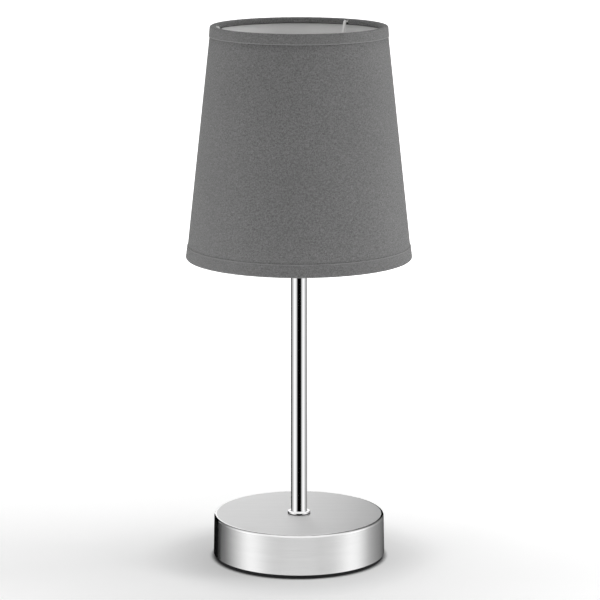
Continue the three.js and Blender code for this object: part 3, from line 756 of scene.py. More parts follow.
def turned(name: str, profile: Sequence[Point], sides: int, relief: Relief | None = None) -> Mesh:
    """Turns a profile about Z.

    Args:
        name: The mesh's name.
        profile: Radius and height of each point, closed, or from the axis to the axis.
        sides: The number of steps round.
        relief: Changes the radius by angle, radius and height.

    Returns:
        The mesh.
    """
    line = np.array(profile, dtype=float)
    closes = bool((line[:, 0] > MERGE_DISTANCE).all())
    angles = np.linspace(0.0, FULL_TURN, sides, endpoint=False)
    theta, radius = np.meshgrid(angles, line[:, 0])
    height = np.repeat(line[:, 1:], sides, axis=1)
    if relief is not None:
        radius = relief(theta, radius, height)
    path = np.vstack([line, line[:1]]) if closes else line
    lay = rolled_out(FULL_TURN * line[:, 0].max(), sides, travel(path))
    return grid(name, about_axis(radius, theta, height), lay, closes, True)


def lathed(name: str, profile: Sequence[Point], sides: int, relief: Relief | None = None) -> Piece:
    """Turns a profile about Z and puts it in the scene under the same name."""
    return to_object(name, turned(name, profile, sides, relief))


def lathed_along_y(
    name: str, profile: Sequence[Point], sides: int, box: Box, relief: Relief | None = None
) -> Piece:
    """Turns a profile and lays it along Y, from the near end of a box.

    Args:
        name: The piece's name.
        profile: Radius and distance along Y of each point.
        sides: The number of steps round.
        box: The two corners of its CAD node, which give its near end and its height.
        relief: Changes the radius by angle, radius and distance along Y.

    Returns:
        The piece.
    """
    low, high = box
    mesh = turned(name, profile, sides, relief)
    foot = Matrix.Translation((0.0, low.y, (low.z + high.z) / 2))
    mesh.transform(foot @ Matrix.Rotation(-math.pi / 2, 4, "X"))
    return to_object(name, mesh)


def screw_thread(
    pitch: float, depth: float, low: float, high: float, inner: float, outer: float, sign: float = 1.0
) -> Relief:
    """Returns a relief that cuts a rounded thread into a turned wall.

    Args:
        pitch: The rise of one turn.
        depth: How far the root lies from the crest.
        low: Where the thread starts.
        high: Where it ends.
        inner: The least radius that it changes.
        outer: The greatest radius that it changes.
        sign: 1 cuts towards the axis, -1 away from it.
    """

    def relief(theta: np.ndarray, radius: np.ndarray, height: np.ndarray) -> np.ndarray:
        """Returns the threaded radius."""
        valley = 0.5 - 0.5 * np.cos(FULL_TURN * height / pitch - theta)
        fade = np.clip((height - low) / pitch, 0, 1) * np.clip((high - height) / pitch, 0, 1)
        walls = (radius > inner) & (radius < outer)
        return radius - np.where(walls, sign * depth * valley * np.sqrt(fade), 0.0)

    return relief


def swept(name: str, path: Sequence[Point], radius: float, sides: int, bearing: float) -> Mesh:
    """Sweeps a round wire along a path in an upright plane through the axis.

    Args:
        name: The mesh's name.
        path: Distance from the axis and height of each point.
        radius: The wire's radius.
        sides: The number of steps round the wire.
        bearing: The plane's bearing, in degrees from the rear towards +X.

    Returns:
        The mesh, with domed ends.
    """
    line = np.array(path, dtype=float)
    tangent = np.gradient(line, axis=0)
    tangent /= np.linalg.norm(tangent, axis=1)[:, None]
    dome = np.radians([0.0, 22.0, 45.0, 68.0])
    starts = [line[0] + tangent[0] * radius * (1 - math.cos(a)) for a in dome]
    ends = [line[-1] - tangent[-1] * radius * (1 - math.cos(a)) for a in dome[::-1]]
    centres = np.vstack([starts, line[1:-1], ends])
    widths = radius * np.concatenate([np.sin(dome), np.ones(len(line) - 2), np.sin(dome[::-1])])
    first, last = (np.repeat(tangent[k], len(dome), axis=0) for k in (slice(0, 1), slice(-1, None)))
    facing = np.vstack([first, tangent[1:-1], last])
    side = np.stack([-facing[:, 1], facing[:, 0]], axis=-1)
    angles = np.linspace(0.0, FULL_TURN, sides, endpoint=False)
    out, up = (centres[:, None, k] + widths[:, None] * side[:, None, k] * np.cos(angles) for k in (0, 1))
    across = widths[:, None] * np.sin(angles) * np.ones_like(out)
    points = np.stack([across, out, up], axis=-1)
    mesh = grid(name, points, rolled_out(FULL_TURN * radius, sides, travel(centres)), False, True)
    mesh.transform(Matrix.Rotation(-math.radians(bearing), 4, "Z"))
    return mesh


def weld_bead(centre: Vector, size: Place, seed: int) -> Mesh:
    """Returns a small uneven bead of weld.

    Args:
        centre: Its middle.
        size: Its half widths.
        seed: The seed of its unevenness.
    """
    random = np.random.default_rng(seed)
    rows, columns = 9, 16
    lift = np.radians(np.linspace(-90.0, 90.0, rows))
    turn = np.linspace(0.0, FULL_TURN, columns, endpoint=False)
    up, around = np.meshgrid(lift, turn, indexing="ij")
    swell = np.ones_like(up)
    for waves, depth in ((2, 0.10), (5, 0.06)):
        swell += depth * np.sin(waves * around + random.uniform(0, 6)) * np.cos(up)
    points = about_axis(swell * np.cos(up), around, np.sin(up)) * np.array(size) + np.array(centre)
    lay = rolled_out(4 * MM, columns, np.linspace(0, 2 * MM, rows))
    return grid("bead", points, lay, False, True)


def joined(name: str, meshes: Sequence[Mesh]) -> Mesh:
    """Returns several meshes as one."""
    work = bmesh.new()
    for mesh in meshes:
        work.from_mesh(mesh)
        bpy.data.meshes.remove(mesh)
    whole = bpy.data.meshes.new(name)
    work.to_mesh(whole)
    work.free()
    return whole


def settled(piece: Piece) -> Piece:
    """Applies a piece's modifiers to its mesh."""
    graph = bpy.context.evaluated_depsgraph_get()
    shaped = piece.evaluated_get(graph)
    mesh = bpy.data.meshes.new_from_object(shaped, preserve_all_data_layers=True, depsgraph=graph)
    piece.modifiers.clear()
    old = piece.data
    piece.data = mesh
    bpy.data.meshes.remove(old)
    return piece


def drilled(piece: Piece, centre: Vector, axis: str, radius: float, length: float) -> Piece:
    """Drills a round hole.

    Args:
        piece: What is drilled.
        centre: The middle of the drill.
        axis: The drill's axis, X or Y.
        radius: Its radius.
        length: Its length.

    Returns:
        The piece.
    """
    half = length / 2
    mesh = turned("drill", [(0.0, -half), (radius, -half), (radius, half), (0.0, half)], DRILL_SIDES)
    tipped = Matrix.Rotation(math.pi / 2, 4, "Y" if axis == "X" else "X")
    mesh.transform(Matrix.Translation(centre) @ tipped)
    tool = to_object("drill", mesh)
    cut = piece.modifiers.new("drill", "BOOLEAN")
    cut.operation = "DIFFERENCE"
    cut.solver = "EXACT"
    cut.object = tool
    settled(piece)
    bpy.data.objects.remove(tool)
    bpy.data.meshes.remove(mesh)
    piece.data.set_sharp_from_angle(angle=math.radians(CORNER_ANGLE))
    return piece


def thickened(piece: Piece, thickness: float) -> Piece:
    """Gives a sheet its thickness, half on each side."""
    shell = piece.modifiers.new("thickness", "SOLIDIFY")
    shell.thickness = thickness
    shell.offset = 0.0
    shell.use_even_offset = False
    return settled(piece)


def seat(piece: Piece, body: str, slot: str, finish: Finish, *nodes: str) -> Piece:
    """Dresses a piece, puts it on its body and lets it stand for CAD nodes.

    Args:
        piece: The piece.
        body: The body that it rides on.
        slot: The record's material slot; not used.
        finish: Its finish, where it has no material yet.
        *nodes: The CAD nodes that it replaces.

    Returns:
        The piece.
    """
    if not piece.data.materials:
        piece.data.materials.append(finish.material())
    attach(piece, body)
    if nodes:
        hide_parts(*nodes)
    LOGGER.info("%s: %d faces on %s", piece.name, len(piece.data.polygons), body)
    return piece


def dress_node(name: str, finish: Finish) -> None:
    """Gives a CAD node that stays in view its finish."""
    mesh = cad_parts[name].data
    mesh.materials.clear()
    mesh.materials.append(finish.material())
    LOGGER.info("%s: dressed", name)


# Sub-assemblies


@dataclass
class Base:
    """The disc base: pressed cover with the weight inside, foam pad and cable bush."""

    wall: float = 1.0 * MM
    edge_radius: float = 1.5 * MM
    foot_edge: float = 0.3 * MM
    draft: float = 0.5 * MM
    flange: float = 6.6 * MM
    stem_hole: float = 5.15 * MM
    pad_edge: float = 0.5 * MM
    recess: float = 14.0 * MM
    cast_corner: float = 1.0 * MM
    bush_bore: float = 2.8 * MM
    bush_neck: float = 3.5 * MM
    bush_lip: float = 0.8 * MM
    bush_face: float = 1.2 * MM
    bush_gap: float = 0.4 * MM
    bush_edge: float = 0.4 * MM
    flange_edge: float = 0.5 * MM
    sides: int = 256
    weight_sides: int = 144
    bush_sides: int = 72
    cover_sharp: float = 50.0
    inlet_gap: float = 0.1 * MM
    inlet_length: float = 8 * MM
    edge_margin: float = 0.05 * MM
    top_step: float = 6 * MM
    pad_step: float = 8 * MM

    def build(self) -> Piece:
        """Builds every piece of the base and returns its cover."""
        cover = self.cover()
        self.weight()
        self.pad()
        self.bush()
        for name in ("stem_washer", "stem_lock_washer", "stem_nut"):
            dress_node(name, ZINC)
        return cover

    def cover(self) -> Piece:
        """Builds the pressed cover, brushed round its side and straight across its top."""
        low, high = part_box("base_cover")
        foot_radius, top_radius = high.x, high.x - self.draft
        foot = (foot_radius - self.foot_edge, low.z + self.foot_edge)
        top = (top_radius - self.edge_radius, high.z - self.edge_radius)
        profile = [
            (foot_radius - self.flange, low.z),
            *on_arc(foot, self.foot_edge, -90, 0, 5),
            *on_arc(top, self.edge_radius, 0, 90, 12),
            *along((top[0] - MM, high.z), (self.stem_hole, high.z), self.top_step),
            (self.stem_hole, high.z - self.wall),
            *on_arc(top, self.edge_radius - self.wall, 90, 0, 4),
            (foot_radius - self.wall, low.z + self.wall),
            (foot_radius - self.flange, low.z + self.wall),
        ]
        cover = to_object("cover", turned("cover", profile, self.sides), self.cover_sharp)
        bush_low, bush_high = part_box("cable_bush")
        inlet = Vector((0.0, foot_radius, (bush_low.z + bush_high.z) / 2))
        drilled(cover, inlet, "Y", self.bush_neck + self.inlet_gap, self.inlet_length)
        finishes = (SATIN_SIDE, SATIN_TOP, EDGE_POLISH)
        for finish in finishes:
            cover.data.materials.append(finish.material())
        edge_start = high.z - self.edge_radius + self.edge_margin
        for face in cover.data.polygons:
            if face.normal.z > 0.999:
                face.material_index = finishes.index(SATIN_TOP)
            elif face.center.z > edge_start and face.normal.z > 0.05:
                face.material_index = finishes.index(EDGE_POLISH)
        cover.visible_glossy = False
        return seat(cover, "base", "satin_steel", SATIN_SIDE, "base_cover")

    def weight(self) -> Piece:
        """Builds the cast weight, its corners rounded as the mould leaves them."""
        low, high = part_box("base_weight")
        recess_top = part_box("stem_washer")[1].z
        corner = self.cast_corner
        inner = self.recess - corner
        profile = [
            *rounded((self.recess, low.z), corner, 180, 5),
            *rounded((high.x, low.z), corner, -90, 5),
            *rounded((high.x, high.z), corner, 0, 5),
            (self.stem_hole, high.z),
            (self.stem_hole, recess_top),
            *on_arc((inner, recess_top - corner), corner, 90, 0, 5),
        ]
        weight = lathed("weight", profile, self.weight_sides)
        weight.visible_glossy = False
        return seat(weight, "base", "cast_weight", CAST_IRON, "base_weight")

    def pad(self) -> Piece:
        """Builds the foam pad under the base."""
        low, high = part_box("foot_pad")
        edge = self.pad_edge
        profile = [
            (0.0, low.z),
            *along((self.pad_step, low.z), (high.x - edge, low.z), self.pad_step)[:-1],
            *rounded((high.x, low.z), edge, -90, 5),
            *rounded((high.x, high.z), edge, 0, 5),
            (0.0, high.z),
        ]
        pad = seat(lathed("pad", profile, self.sides), "base", "foam_pad", PAD_FOAM, "foot_pad")
        pad.visible_glossy = False
        return pad

    def bush(self) -> Piece:
        """Builds the cable bush in the rear of the cover."""
        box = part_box("cable_bush")
        low, high = box
        flange = (high.x - low.x) / 2
        depth = high.y - low.y
        edge = self.bush_edge
        lip = self.bush_neck + self.bush_lip
        shoulder = min(depth - self.bush_face, self.bush_face + self.wall + self.bush_gap)
        profile = [
            (self.bush_bore, 0.0),
            *on_arc((lip - edge - 0.1 * MM, edge), edge, -90, 0, 4),
            (lip, self.bush_face),
            (self.bush_neck, self.bush_face),
            (self.bush_neck, shoulder),
            (flange, shoulder),
            *rounded((flange, depth), self.flange_edge, 0, 5),
            *rounded((self.bush_bore, depth), edge, 90, 5),
        ]
        bush = lathed_along_y("bush", profile, self.bush_sides, box)
        return seat(bush, "base", "black_plastic", BLACK_PLASTIC, "cable_bush")


@dataclass
class Stem:
    """The chrome lamp pipe and the collar at its foot."""

    wall: float = 1.0 * MM
    hole: float = 5.15 * MM
    chamfer: float = 0.3 * MM
    collar_edge: float = 0.35 * MM
    collar_foot: float = 0.1 * MM
    hole_edge: float = 0.2 * MM
    seam_height: float = 0.5 * MM
    thread_pitch: float = 1.0 * MM
    thread_depth: float = 0.35 * MM
    thread_length: float = 12.0 * MM
    plain_step: float = 30 * MM
    pipe_sides: int = 96
    collar_sides: int = 128

    def build(self) -> Piece:
        """Builds the pipe and its collar, and returns the collar."""
        self.pipe()
        return self.collar()

    def pipe(self) -> Piece:
        """Builds the pipe, threaded at its foot inside the base."""
        low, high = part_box("stem_tube")
        radius, chamfer = high.x, self.chamfer
        thread_top = low.z + self.thread_length
        profile = [
            (radius - self.wall, low.z),
            (radius - chamfer, low.z),
            *along((radius, low.z + chamfer), (radius, thread_top), self.thread_pitch / 8),
            *along((radius, thread_top + 2 * MM), (radius, high.z - chamfer), self.plain_step),
            (radius - chamfer, high.z),
            (radius - self.wall, high.z),
        ]
        skin = (radius - 0.5 * MM, radius + MM)
        thread = screw_thread(self.thread_pitch, self.thread_depth, low.z, thread_top, *skin)
        pipe = lathed("pipe", profile, self.pipe_sides, thread)
        pipe.visible_glossy = False
        return seat(pipe, "base", "chrome_stem", CHROME, "stem_tube")

    def collar(self) -> Piece:
        """Builds the turned collar."""
        low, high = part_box("foot_collar")
        radius = high.x
        profile = [
            (self.hole, low.z),
            (radius - self.collar_foot, low.z),
            (radius, low.z + self.collar_foot),
            *rounded((radius, high.z), self.collar_edge, 0, 8),
            *rounded((self.hole, high.z), self.hole_edge, 90, 3),
        ]
        # The collar is painted dark at its foot: a painted shadow in the seam with the base.
        finish = replace(CHROME, name="chrome_collar", seam_below=low.z + self.seam_height)
        collar = lathed("collar", profile, self.collar_sides)
        return seat(collar, "base", "chrome_stem", finish, "foot_collar")


@dataclass
class Lampholder:
    """The moulded cap and threaded body, with the screw shell and contacts inside."""

    neck_radius: float = 7.5 * MM
    neck_height: float = 4.0 * MM
    neck_edge: float = 0.4 * MM
    flare_height: float = 4.5 * MM
    cap_edge: float = 0.3 * MM
    floor_height: float = 9.0 * MM
    ledge_height: float = 13.0 * MM
    ledge_width: float = 1.6 * MM
    grips: int = 20
    grip_depth: float = 0.35 * MM
    grip_step: float = 0.7 * MM
    bore: float = 12.1 * MM
    stem_hole: float = 5.15 * MM
    thread_radius: float = 14.0 * MM
    thread_pitch: float = 2.0 * MM
    thread_depth: float = 0.7 * MM
    thread_chamfer: float = 0.5 * MM
    shoulder_height: float = 4.0 * MM
    shoulder_edge: float = 0.4 * MM
    mouth: float = 8.2 * MM
    rim: float = 1.5 * MM
    shell_inner: float = 7.2 * MM
    shell_outer: float = 7.6 * MM
    shell_pitch: float = 2.82 * MM
    shell_step: float = 0.35 * MM
    shell_depth: float = 0.04 * MM
    screw_height: float = 2.1 * MM
    screw_hole: float = 1.45 * MM
    screw_hole_length: float = 6 * MM
    screw_pitch: float = 0.5 * MM
    screw_depth: float = 0.2 * MM
    screw_step: float = 0.06 * MM
    screw_edge: float = 0.2 * MM
    slot_half: float = 0.3 * MM
    slot_length: float = 1.2 * MM
    cap_sides: int = 240
    screw_sides: int = 36
    body_sides: int = 144
    shell_sides: int = 96

    def build(self) -> None:
        """Builds every piece of the lampholder."""
        self.cap()
        self.lock_screw()
        self.body()
        self.shell()
        dress_node("holder_core", WHITE_PLASTIC)
        for name in ("terminal_screw_left", "terminal_screw_right", "centre_contact"):
            dress_node(name, BRASS)

    def cap(self) -> Piece:
        """Builds the cap, its neck flaring out over the stem."""
        low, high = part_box("holder_cap")
        radius, edge = high.x, self.cap_edge
        neck_top = low.z + self.neck_height
        flare_top = neck_top + self.flare_height
        floor, ledge = low.z + self.floor_height, low.z + self.ledge_height
        flare = on_bezier([(self.neck_radius, neck_top), (radius, neck_top), (radius, flare_top)], 16)
        profile = [
            (self.stem_hole, low.z),
            *rounded((self.neck_radius, low.z), self.neck_edge, -90, 4)[:-1],
            *flare,
            *along((radius, flare_top), (radius, high.z - edge), self.grip_step)[1:-1],
            flare[-1],  # back down, so that a plain wall lies over the ribs
            *rounded((radius, high.z), edge, 0, 4),
            (self.bore, high.z),
            (self.bore, ledge),
            (self.bore - self.ledge_width, ledge),
            (self.bore - self.ledge_width, floor),
            (self.stem_hole, floor),
        ]

        def ribs(theta: np.ndarray, r: np.ndarray, z: np.ndarray) -> np.ndarray:
            """Returns the radius with shallow grip ribs round the cap."""
            wave = np.clip(np.cos(self.grips * theta), -0.2, 0.6) - 0.6
            fade = np.clip((z - flare_top) / MM, 0, 1) * np.clip((high.z - 2 * edge - z) / MM, 0, 1)
            return r + np.where(r > self.bore + 0.5 * MM, self.grip_depth * wave * fade, 0.0)

        cap = lathed("cap", profile, self.cap_sides, ribs)
        screw_place = Vector((0.0, self.neck_radius, low.z + self.screw_height))
        drilled(cap, screw_place, "Y", self.screw_hole, self.screw_hole_length)
        return seat(cap, "base", "white_plastic", WHITE_PLASTIC, "holder_cap")

    def lock_screw(self) -> Piece:
        """Builds the slotted lock screw in the cap's neck."""
        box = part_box("cap_lock_screw")
        low, high = box
        radius, length, edge = (high.x - low.x) / 2, high.y - low.y, self.screw_edge
        profile = [
            (0.0, 0.0),
            (radius - edge, 0.0),
            *along((radius, edge), (radius, length - edge), self.screw_step),
            (radius - edge, length),
            (0.0, length),
        ]
        skin = (radius - 0.1 * MM, radius + MM)
        thread = screw_thread(self.screw_pitch, self.screw_depth, 0.0, length, *skin)
        screw = lathed_along_y("lock_screw", profile, self.screw_sides, box, thread)
        face = Vector((0.0, high.y, (low.z + high.z) / 2))
        for offset in np.linspace(-1.0, 1.0, 5):
            drilled(screw, face + Vector((offset * MM, 0.0, 0.0)), "X", self.slot_half, self.slot_length)
        return seat(screw, "base", "zinc_steel", ZINC, "cap_lock_screw")

    def body(self) -> Piece:
        """Builds the body, whose outside thread takes the shade's ring."""
        low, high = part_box("holder_body")
        seat_height = low.z + self.shoulder_height
        radius, edge, chamfer = self.thread_radius, self.shoulder_edge, self.thread_chamfer
        profile = [
            (self.bore, low.z),
            (high.x - edge, low.z),
            *rounded((high.x, seat_height), edge, 0, 4),
            (radius, seat_height),
            *along((radius, seat_height + 0.1 * MM), (radius, high.z - chamfer), self.thread_pitch / 8),
            (radius - chamfer, high.z),
            (self.mouth, high.z),
            (self.mouth, high.z - self.rim),
            (self.bore, high.z - self.rim),
        ]
        skin = (radius - 0.2 * MM, radius + 0.1 * MM)
        thread = screw_thread(self.thread_pitch, self.thread_depth, seat_height, high.z, *skin)
        body = lathed("body", profile, self.body_sides, thread)
        return seat(body, "base", "white_plastic", WHITE_PLASTIC, "holder_body")

    def shell(self) -> Piece:
        """Builds the rolled screw shell that the bulb turns into."""
        low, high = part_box("screw_shell")
        foot, inner, outer = high.x, self.shell_inner, self.shell_outer
        wall_foot = low.z + (outer - inner)
        profile = [
            (inner, low.z),
            (foot, low.z),
            (foot, wall_foot),
            *along((outer, wall_foot), (outer, high.z), self.shell_step),
            *along((inner, high.z), (inner, wall_foot), self.shell_step),
        ]

        def rolled(theta: np.ndarray, r: np.ndarray, z: np.ndarray) -> np.ndarray:
            """Returns the radius with the thread rolled into the wall."""
            wave = 1 - np.cos(FULL_TURN * z / self.shell_pitch - theta)
            fade = np.clip((z - wall_foot) / (2 * MM), 0, 1) * np.clip((high.z - z) / MM, 0, 1)
            return r - np.where(r < outer + 0.1 * MM, self.shell_depth * fade * wave, 0.0)

        shell = lathed("shell", profile, self.shell_sides, rolled)
        return seat(shell, "base", "contact_brass", BRASS, "screw_shell")


@dataclass
class Bulb:
    """The opal globe on its rolled screw cap."""

    globe: float = 22.5 * MM
    neck: float = 7.9 * MM
    wall: float = 0.8 * MM
    cap_radius: float = 6.9 * MM
    cap_wall: float = 0.4 * MM
    cap_edge: float = 0.15 * MM
    skirt_height: float = 3.2 * MM
    skirt_rise: float = 3.9 * MM
    thread_pitch: float = 2.82 * MM
    thread_depth: float = 0.7 * MM
    thread_step: float = 0.3 * MM
    globe_sides: int = 128
    cap_sides: int = 96
    insulator_sides: int = 64
    contact_sides: int = 48

    def build(self) -> None:
        """Builds every piece of the bulb."""
        self.glass()
        self.cap()
        self.insulator()
        self.contact()

    def outline(self, inset: float) -> list[Point]:
        """Returns the glass's outline from its neck to its top."""
        low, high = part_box("bulb_glass")
        centre, radius, neck = high.z - self.globe, self.globe - inset, self.neck - inset
        join = radius * math.sqrt(0.5)
        join_height = centre - join
        rise = join_height - low.z
        pull = 0.33 * rise
        start, end = (neck, low.z), (join, join_height)
        throat = on_bezier([start, (neck, low.z + 0.5 * rise), (join - pull, join_height - pull), end], 18)
        globe = on_arc((0.0, centre), radius, -45, 90, 36)[1:-1]
        return [*throat, *globe, (0.0, centre + radius)]

    def glass(self) -> Piece:
        """Builds the opal globe with its wall."""
        profile = [*reversed(self.outline(self.wall)), *self.outline(0.0)]
        return seat(lathed("globe", profile, self.globe_sides), "bulb", "opal_glass", OPAL, "bulb_glass")

    def cap(self) -> Piece:
        """Builds the screw cap, its thread rolled into thin sheet."""
        low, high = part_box("bulb_cap")
        radius, skirt, edge = self.cap_radius, high.x, self.cap_edge
        skirt_foot = high.z - self.skirt_height
        thread_top = skirt_foot - self.skirt_rise
        bend = skirt_foot - MM
        flare = [(radius, thread_top), (radius, bend), (skirt, bend), (skirt, skirt_foot + 0.5 * MM)]
        outside = [
            *along((radius, low.z), (radius, thread_top), self.thread_step),
            *on_bezier(flare, 10)[1:],
            (skirt, high.z - edge),
            (skirt - edge, high.z),
        ]
        inside = [(r - self.cap_wall, z) for r, z in reversed(outside)]
        skin = (0.0, radius + 0.05 * MM)
        thread = screw_thread(self.thread_pitch, self.thread_depth, low.z, thread_top + MM, *skin)
        cap = lathed("screw_cap", [*outside, *inside], self.cap_sides, thread)
        return seat(cap, "bulb", "bulb_aluminium", ALUMINIUM, "bulb_cap")

    def insulator(self) -> Piece:
        """Builds the glassy insulator at the cap's foot."""
        low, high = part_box("bulb_insulator")
        radius = high.x
        bulge = [(3.0 * MM, low.z + 0.1 * MM), (radius - MM, low.z + 0.4 * MM), (radius, low.z + 2.7 * MM)]
        profile = [(0.0, low.z), (2.7 * MM, low.z), *on_bezier(bulge, 8), (radius, high.z), (0.0, high.z)]
        insulator = lathed("insulator", profile, self.insulator_sides)
        return seat(insulator, "bulb", "black_plastic", BLACK_PLASTIC, "bulb_insulator")

    def contact(self) -> Piece:
        """Builds the domed solder contact."""
        low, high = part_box("bulb_contact")
        radius = high.x
        middle, side = (radius - 0.4 * MM, low.z + 0.05 * MM), (radius, low.z + 0.45 * MM)
        bulge = on_bezier([(0.6 * MM, low.z + 0.01 * MM), middle, side], 8)
        profile = [(0.0, low.z), *bulge, (radius, high.z), (0.0, high.z)]
        contact = lathed("solder", profile, self.contact_sides)
        return seat(contact, "bulb", "contact_brass", BRASS, "bulb_contact")


class Hem(Enum):
    """The shade's two hems, with the way each one faces."""

    TOP = 1
    BOTTOM = -1

    @property
    def label(self) -> str:
        """The hem's name, as the names of its pieces have it."""
        return self.name.lower()


@dataclass
class Shade:
    """The lined cone shade: cloth on stiff film over two wire rings, with a band folded on each."""

    bottom_radius: float = 69.3 * MM
    top_radius: float = 53.65 * MM
    cloth: float = 0.4 * MM
    film: float = 0.6 * MM
    skin_gap: float = 0.05 * MM
    binding: float = 0.3 * MM
    wire: float = 0.9 * MM
    wire_gap: float = 0.15 * MM
    top_band: float = 6.4 * MM
    bottom_band: float = 8.2 * MM
    turned_leg: float = 2.1 * MM
    leg_lean: float = 0.2 * MM
    leg_fall: float = 0.9 * MM
    curl_reach: float = 0.7 * MM
    notch_half: float = 1.9 * MM
    notch_slope: float = 0.6 * MM
    notch_above: float = 1.2 * MM
    edge_waver: float = 0.06 * MM
    pucker_out: float = 0.05 * MM
    pucker_up: float = 0.04 * MM
    tuck_margin: float = 0.5 * MM
    band_step: float = 0.5 * MM
    leg_step: float = 0.3 * MM
    band_sharp: float = 60.0
    seeds: tuple[int, int] = (7, 11)
    seam_bearing: float = 297.0
    seam_lap: float = 10.0 * MM
    seam_rise: float = 0.7 * MM
    arm_bearings: tuple[float, ...] = (35.0, 155.0, 275.0)
    columns: int = 360
    ring_sides: int = 240
    low: float = field(init=False)
    high: float = field(init=False)

    def __post_init__(self) -> None:
        """Reads the shade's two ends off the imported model."""
        self.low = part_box("bottom_trim")[0].z
        self.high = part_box("top_trim")[1].z

    @property
    def slope(self) -> float:
        """How fast the shade widens downwards."""
        return (self.bottom_radius - self.top_radius) / (self.high - self.low)

    @property
    def wall(self) -> float:
        """The thickness of cloth and film together."""
        return self.cloth + self.skin_gap + self.film

    @property
    def fold(self) -> float:
        """The outer radius of a band's two folds."""
        return self.wire + self.binding

    @property
    def seam_start(self) -> float:
        """The angle about the axis at which the cloth starts, in radians from +X."""
        return math.radians(90.0 - self.seam_bearing)

    def radius_at(self, height: np.ndarray | float) -> np.ndarray | float:
        """Returns the cloth's outer radius at a height."""
        return self.bottom_radius - self.slope * (height - self.low)

    def level(self, hem: Hem) -> float:
        """Returns the height of a hem's wire ring."""
        edge = self.high if hem is Hem.TOP else self.low
        return edge - hem.value * (self.fold + self.skin_gap)

    def wire_circle(self, hem: Hem) -> float:
        """Returns the centre radius of a hem's wire ring."""
        return float(self.radius_at(self.level(hem))) - self.wall - self.wire_gap - self.wire

    def flat_cut(self, turn: np.ndarray, height: np.ndarray) -> np.ndarray:
        """Returns where a point of the cone lies on the flat cut.

        Args:
            turn: Angles from the front.
            height: Heights.

        Returns:
            Flat coordinates in metres.
        """
        half_apex = math.atan(self.slope)
        reach = self.radius_at(height) / math.sin(half_apex)
        middle = self.radius_at((self.low + self.high) / 2) / math.sin(half_apex)
        spread = turn * math.sin(half_apex)
        return np.stack([reach * np.sin(spread), middle - reach * np.cos(spread)], axis=-1)

    def lap_rise(self, turn: np.ndarray, rise: float) -> np.ndarray:
        """Returns how far the overlapping end stands out, by the turn from its start."""
        ramp = self.seam_lap / self.bottom_radius
        return rise * np.clip((turn - (FULL_TURN - 1.2 * ramp)) / (1.1 * ramp), 0, 1) ** 2

    def build(self) -> None:
        """Builds the shade's sheets, bindings and rings."""
        self.sheet("cloth", "shade_fabric", "grey_fabric", GREY_CLOTH, self.cloth, 0.0)
        # The film is painted dark this far from each edge: where the band hides it, plus a painted shadow
        # line just past the band's curl.
        band_shadow_reach = self.fold + self.turned_leg + self.tuck_margin
        film = replace(PALE_FILM, tucked=(self.low + band_shadow_reach, self.high - band_shadow_reach))
        self.sheet("film", "shade_liner", "pale_liner", film, self.film, self.cloth + self.skin_gap)
        for hem in Hem:
            self.binding_band(hem)
            self.ring(hem)

    def sheet(self, name: str, node: str, slot: str, finish: Finish, thickness: float, inset: float) -> Piece:
        """Builds one of the cone's sheets, which laps over itself at the seam.

        Args:
            name: The piece's name.
            node: The CAD node that it replaces.
            slot: The record's material slot.
            finish: Its finish.
            thickness: Its thickness.
            inset: How far its outside lies inside the cloth's.

        Returns:
            The sheet.
        """
        low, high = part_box(node)
        lap = self.seam_lap / self.bottom_radius
        rows, lap_columns = 15, 12
        turns = np.linspace(0.0, FULL_TURN + lap, self.columns + lap_columns)
        turn, height = np.meshgrid(turns, np.linspace(low.z, high.z, rows))
        middle = self.radius_at(height) - inset - thickness / 2
        radius = middle + self.lap_rise(turn, self.wall + self.skin_gap)
        points = about_axis(radius, self.seam_start - turn, height)
        from_front = turn - math.radians((180.0 - self.seam_bearing) % 360.0)
        mesh = grid(name, points, self.flat_cut(from_front, height), False, False)
        piece = thickened(to_object(name, mesh), thickness)
        seat(piece, "shade", slot, finish, node)
        return piece

    def binding_band(self, hem: Hem) -> Piece:
        """Builds the band that lies on the cloth, folds over its edge and curls in under the ring.

        Args:
            hem: Which hem.

        Returns:
            The band.
        """
        name = f"{hem.label}_binding"
        path = self.band_path(hem)
        centre = float(path[:, 0].mean())
        travelled = travel(path)
        whole = travelled[-1]
        angles = np.linspace(0.0, FULL_TURN, self.columns, endpoint=False)
        end = np.full(self.columns, whole)
        if hem is Hem.TOP:
            end -= self._notch(angles, self.wire_circle(hem))
        random = np.random.default_rng(self.seeds[0] if hem is Hem.TOP else self.seeds[1])
        end += self.edge_waver * sum(np.sin(k * angles + random.uniform(0, 6.3)) for k in (9, 17, 31))
        share = travelled / whole
        reach = share[:, None] * end[None, :]
        pucker = sum(np.sin(k * angles + random.uniform(0, 6.3)) for k in (43, 61, 97)) / 3
        loose = np.clip((share - 0.45) / 0.4, 0, 1)[:, None]
        radius = np.interp(reach, travelled, path[:, 0]) + self.pucker_out * loose * pucker
        bulge = hem.value * self.pucker_up * np.sin(math.pi * share)[:, None] * pucker
        height = np.interp(reach, travelled, path[:, 1]) + bulge
        seam_turn = (self.seam_start - angles) % FULL_TURN
        near = np.minimum(seam_turn, FULL_TURN - seam_turn) * self.bottom_radius
        over_seam = self.seam_rise * np.exp(-((near / self.seam_lap) ** 2))
        radius = radius + over_seam * np.clip(1.15 - share * 2.2, 0, 1)[:, None]
        lay = rolled_out(FULL_TURN * centre, self.columns, travelled)
        mesh = grid(name, about_axis(radius, angles, height), lay, False, True)
        piece = thickened(to_object(name, mesh, self.band_sharp), self.binding)
        seat(piece, "shade", "grey_trim", TRIM_CLOTH, f"{hem.label}_trim")
        return piece

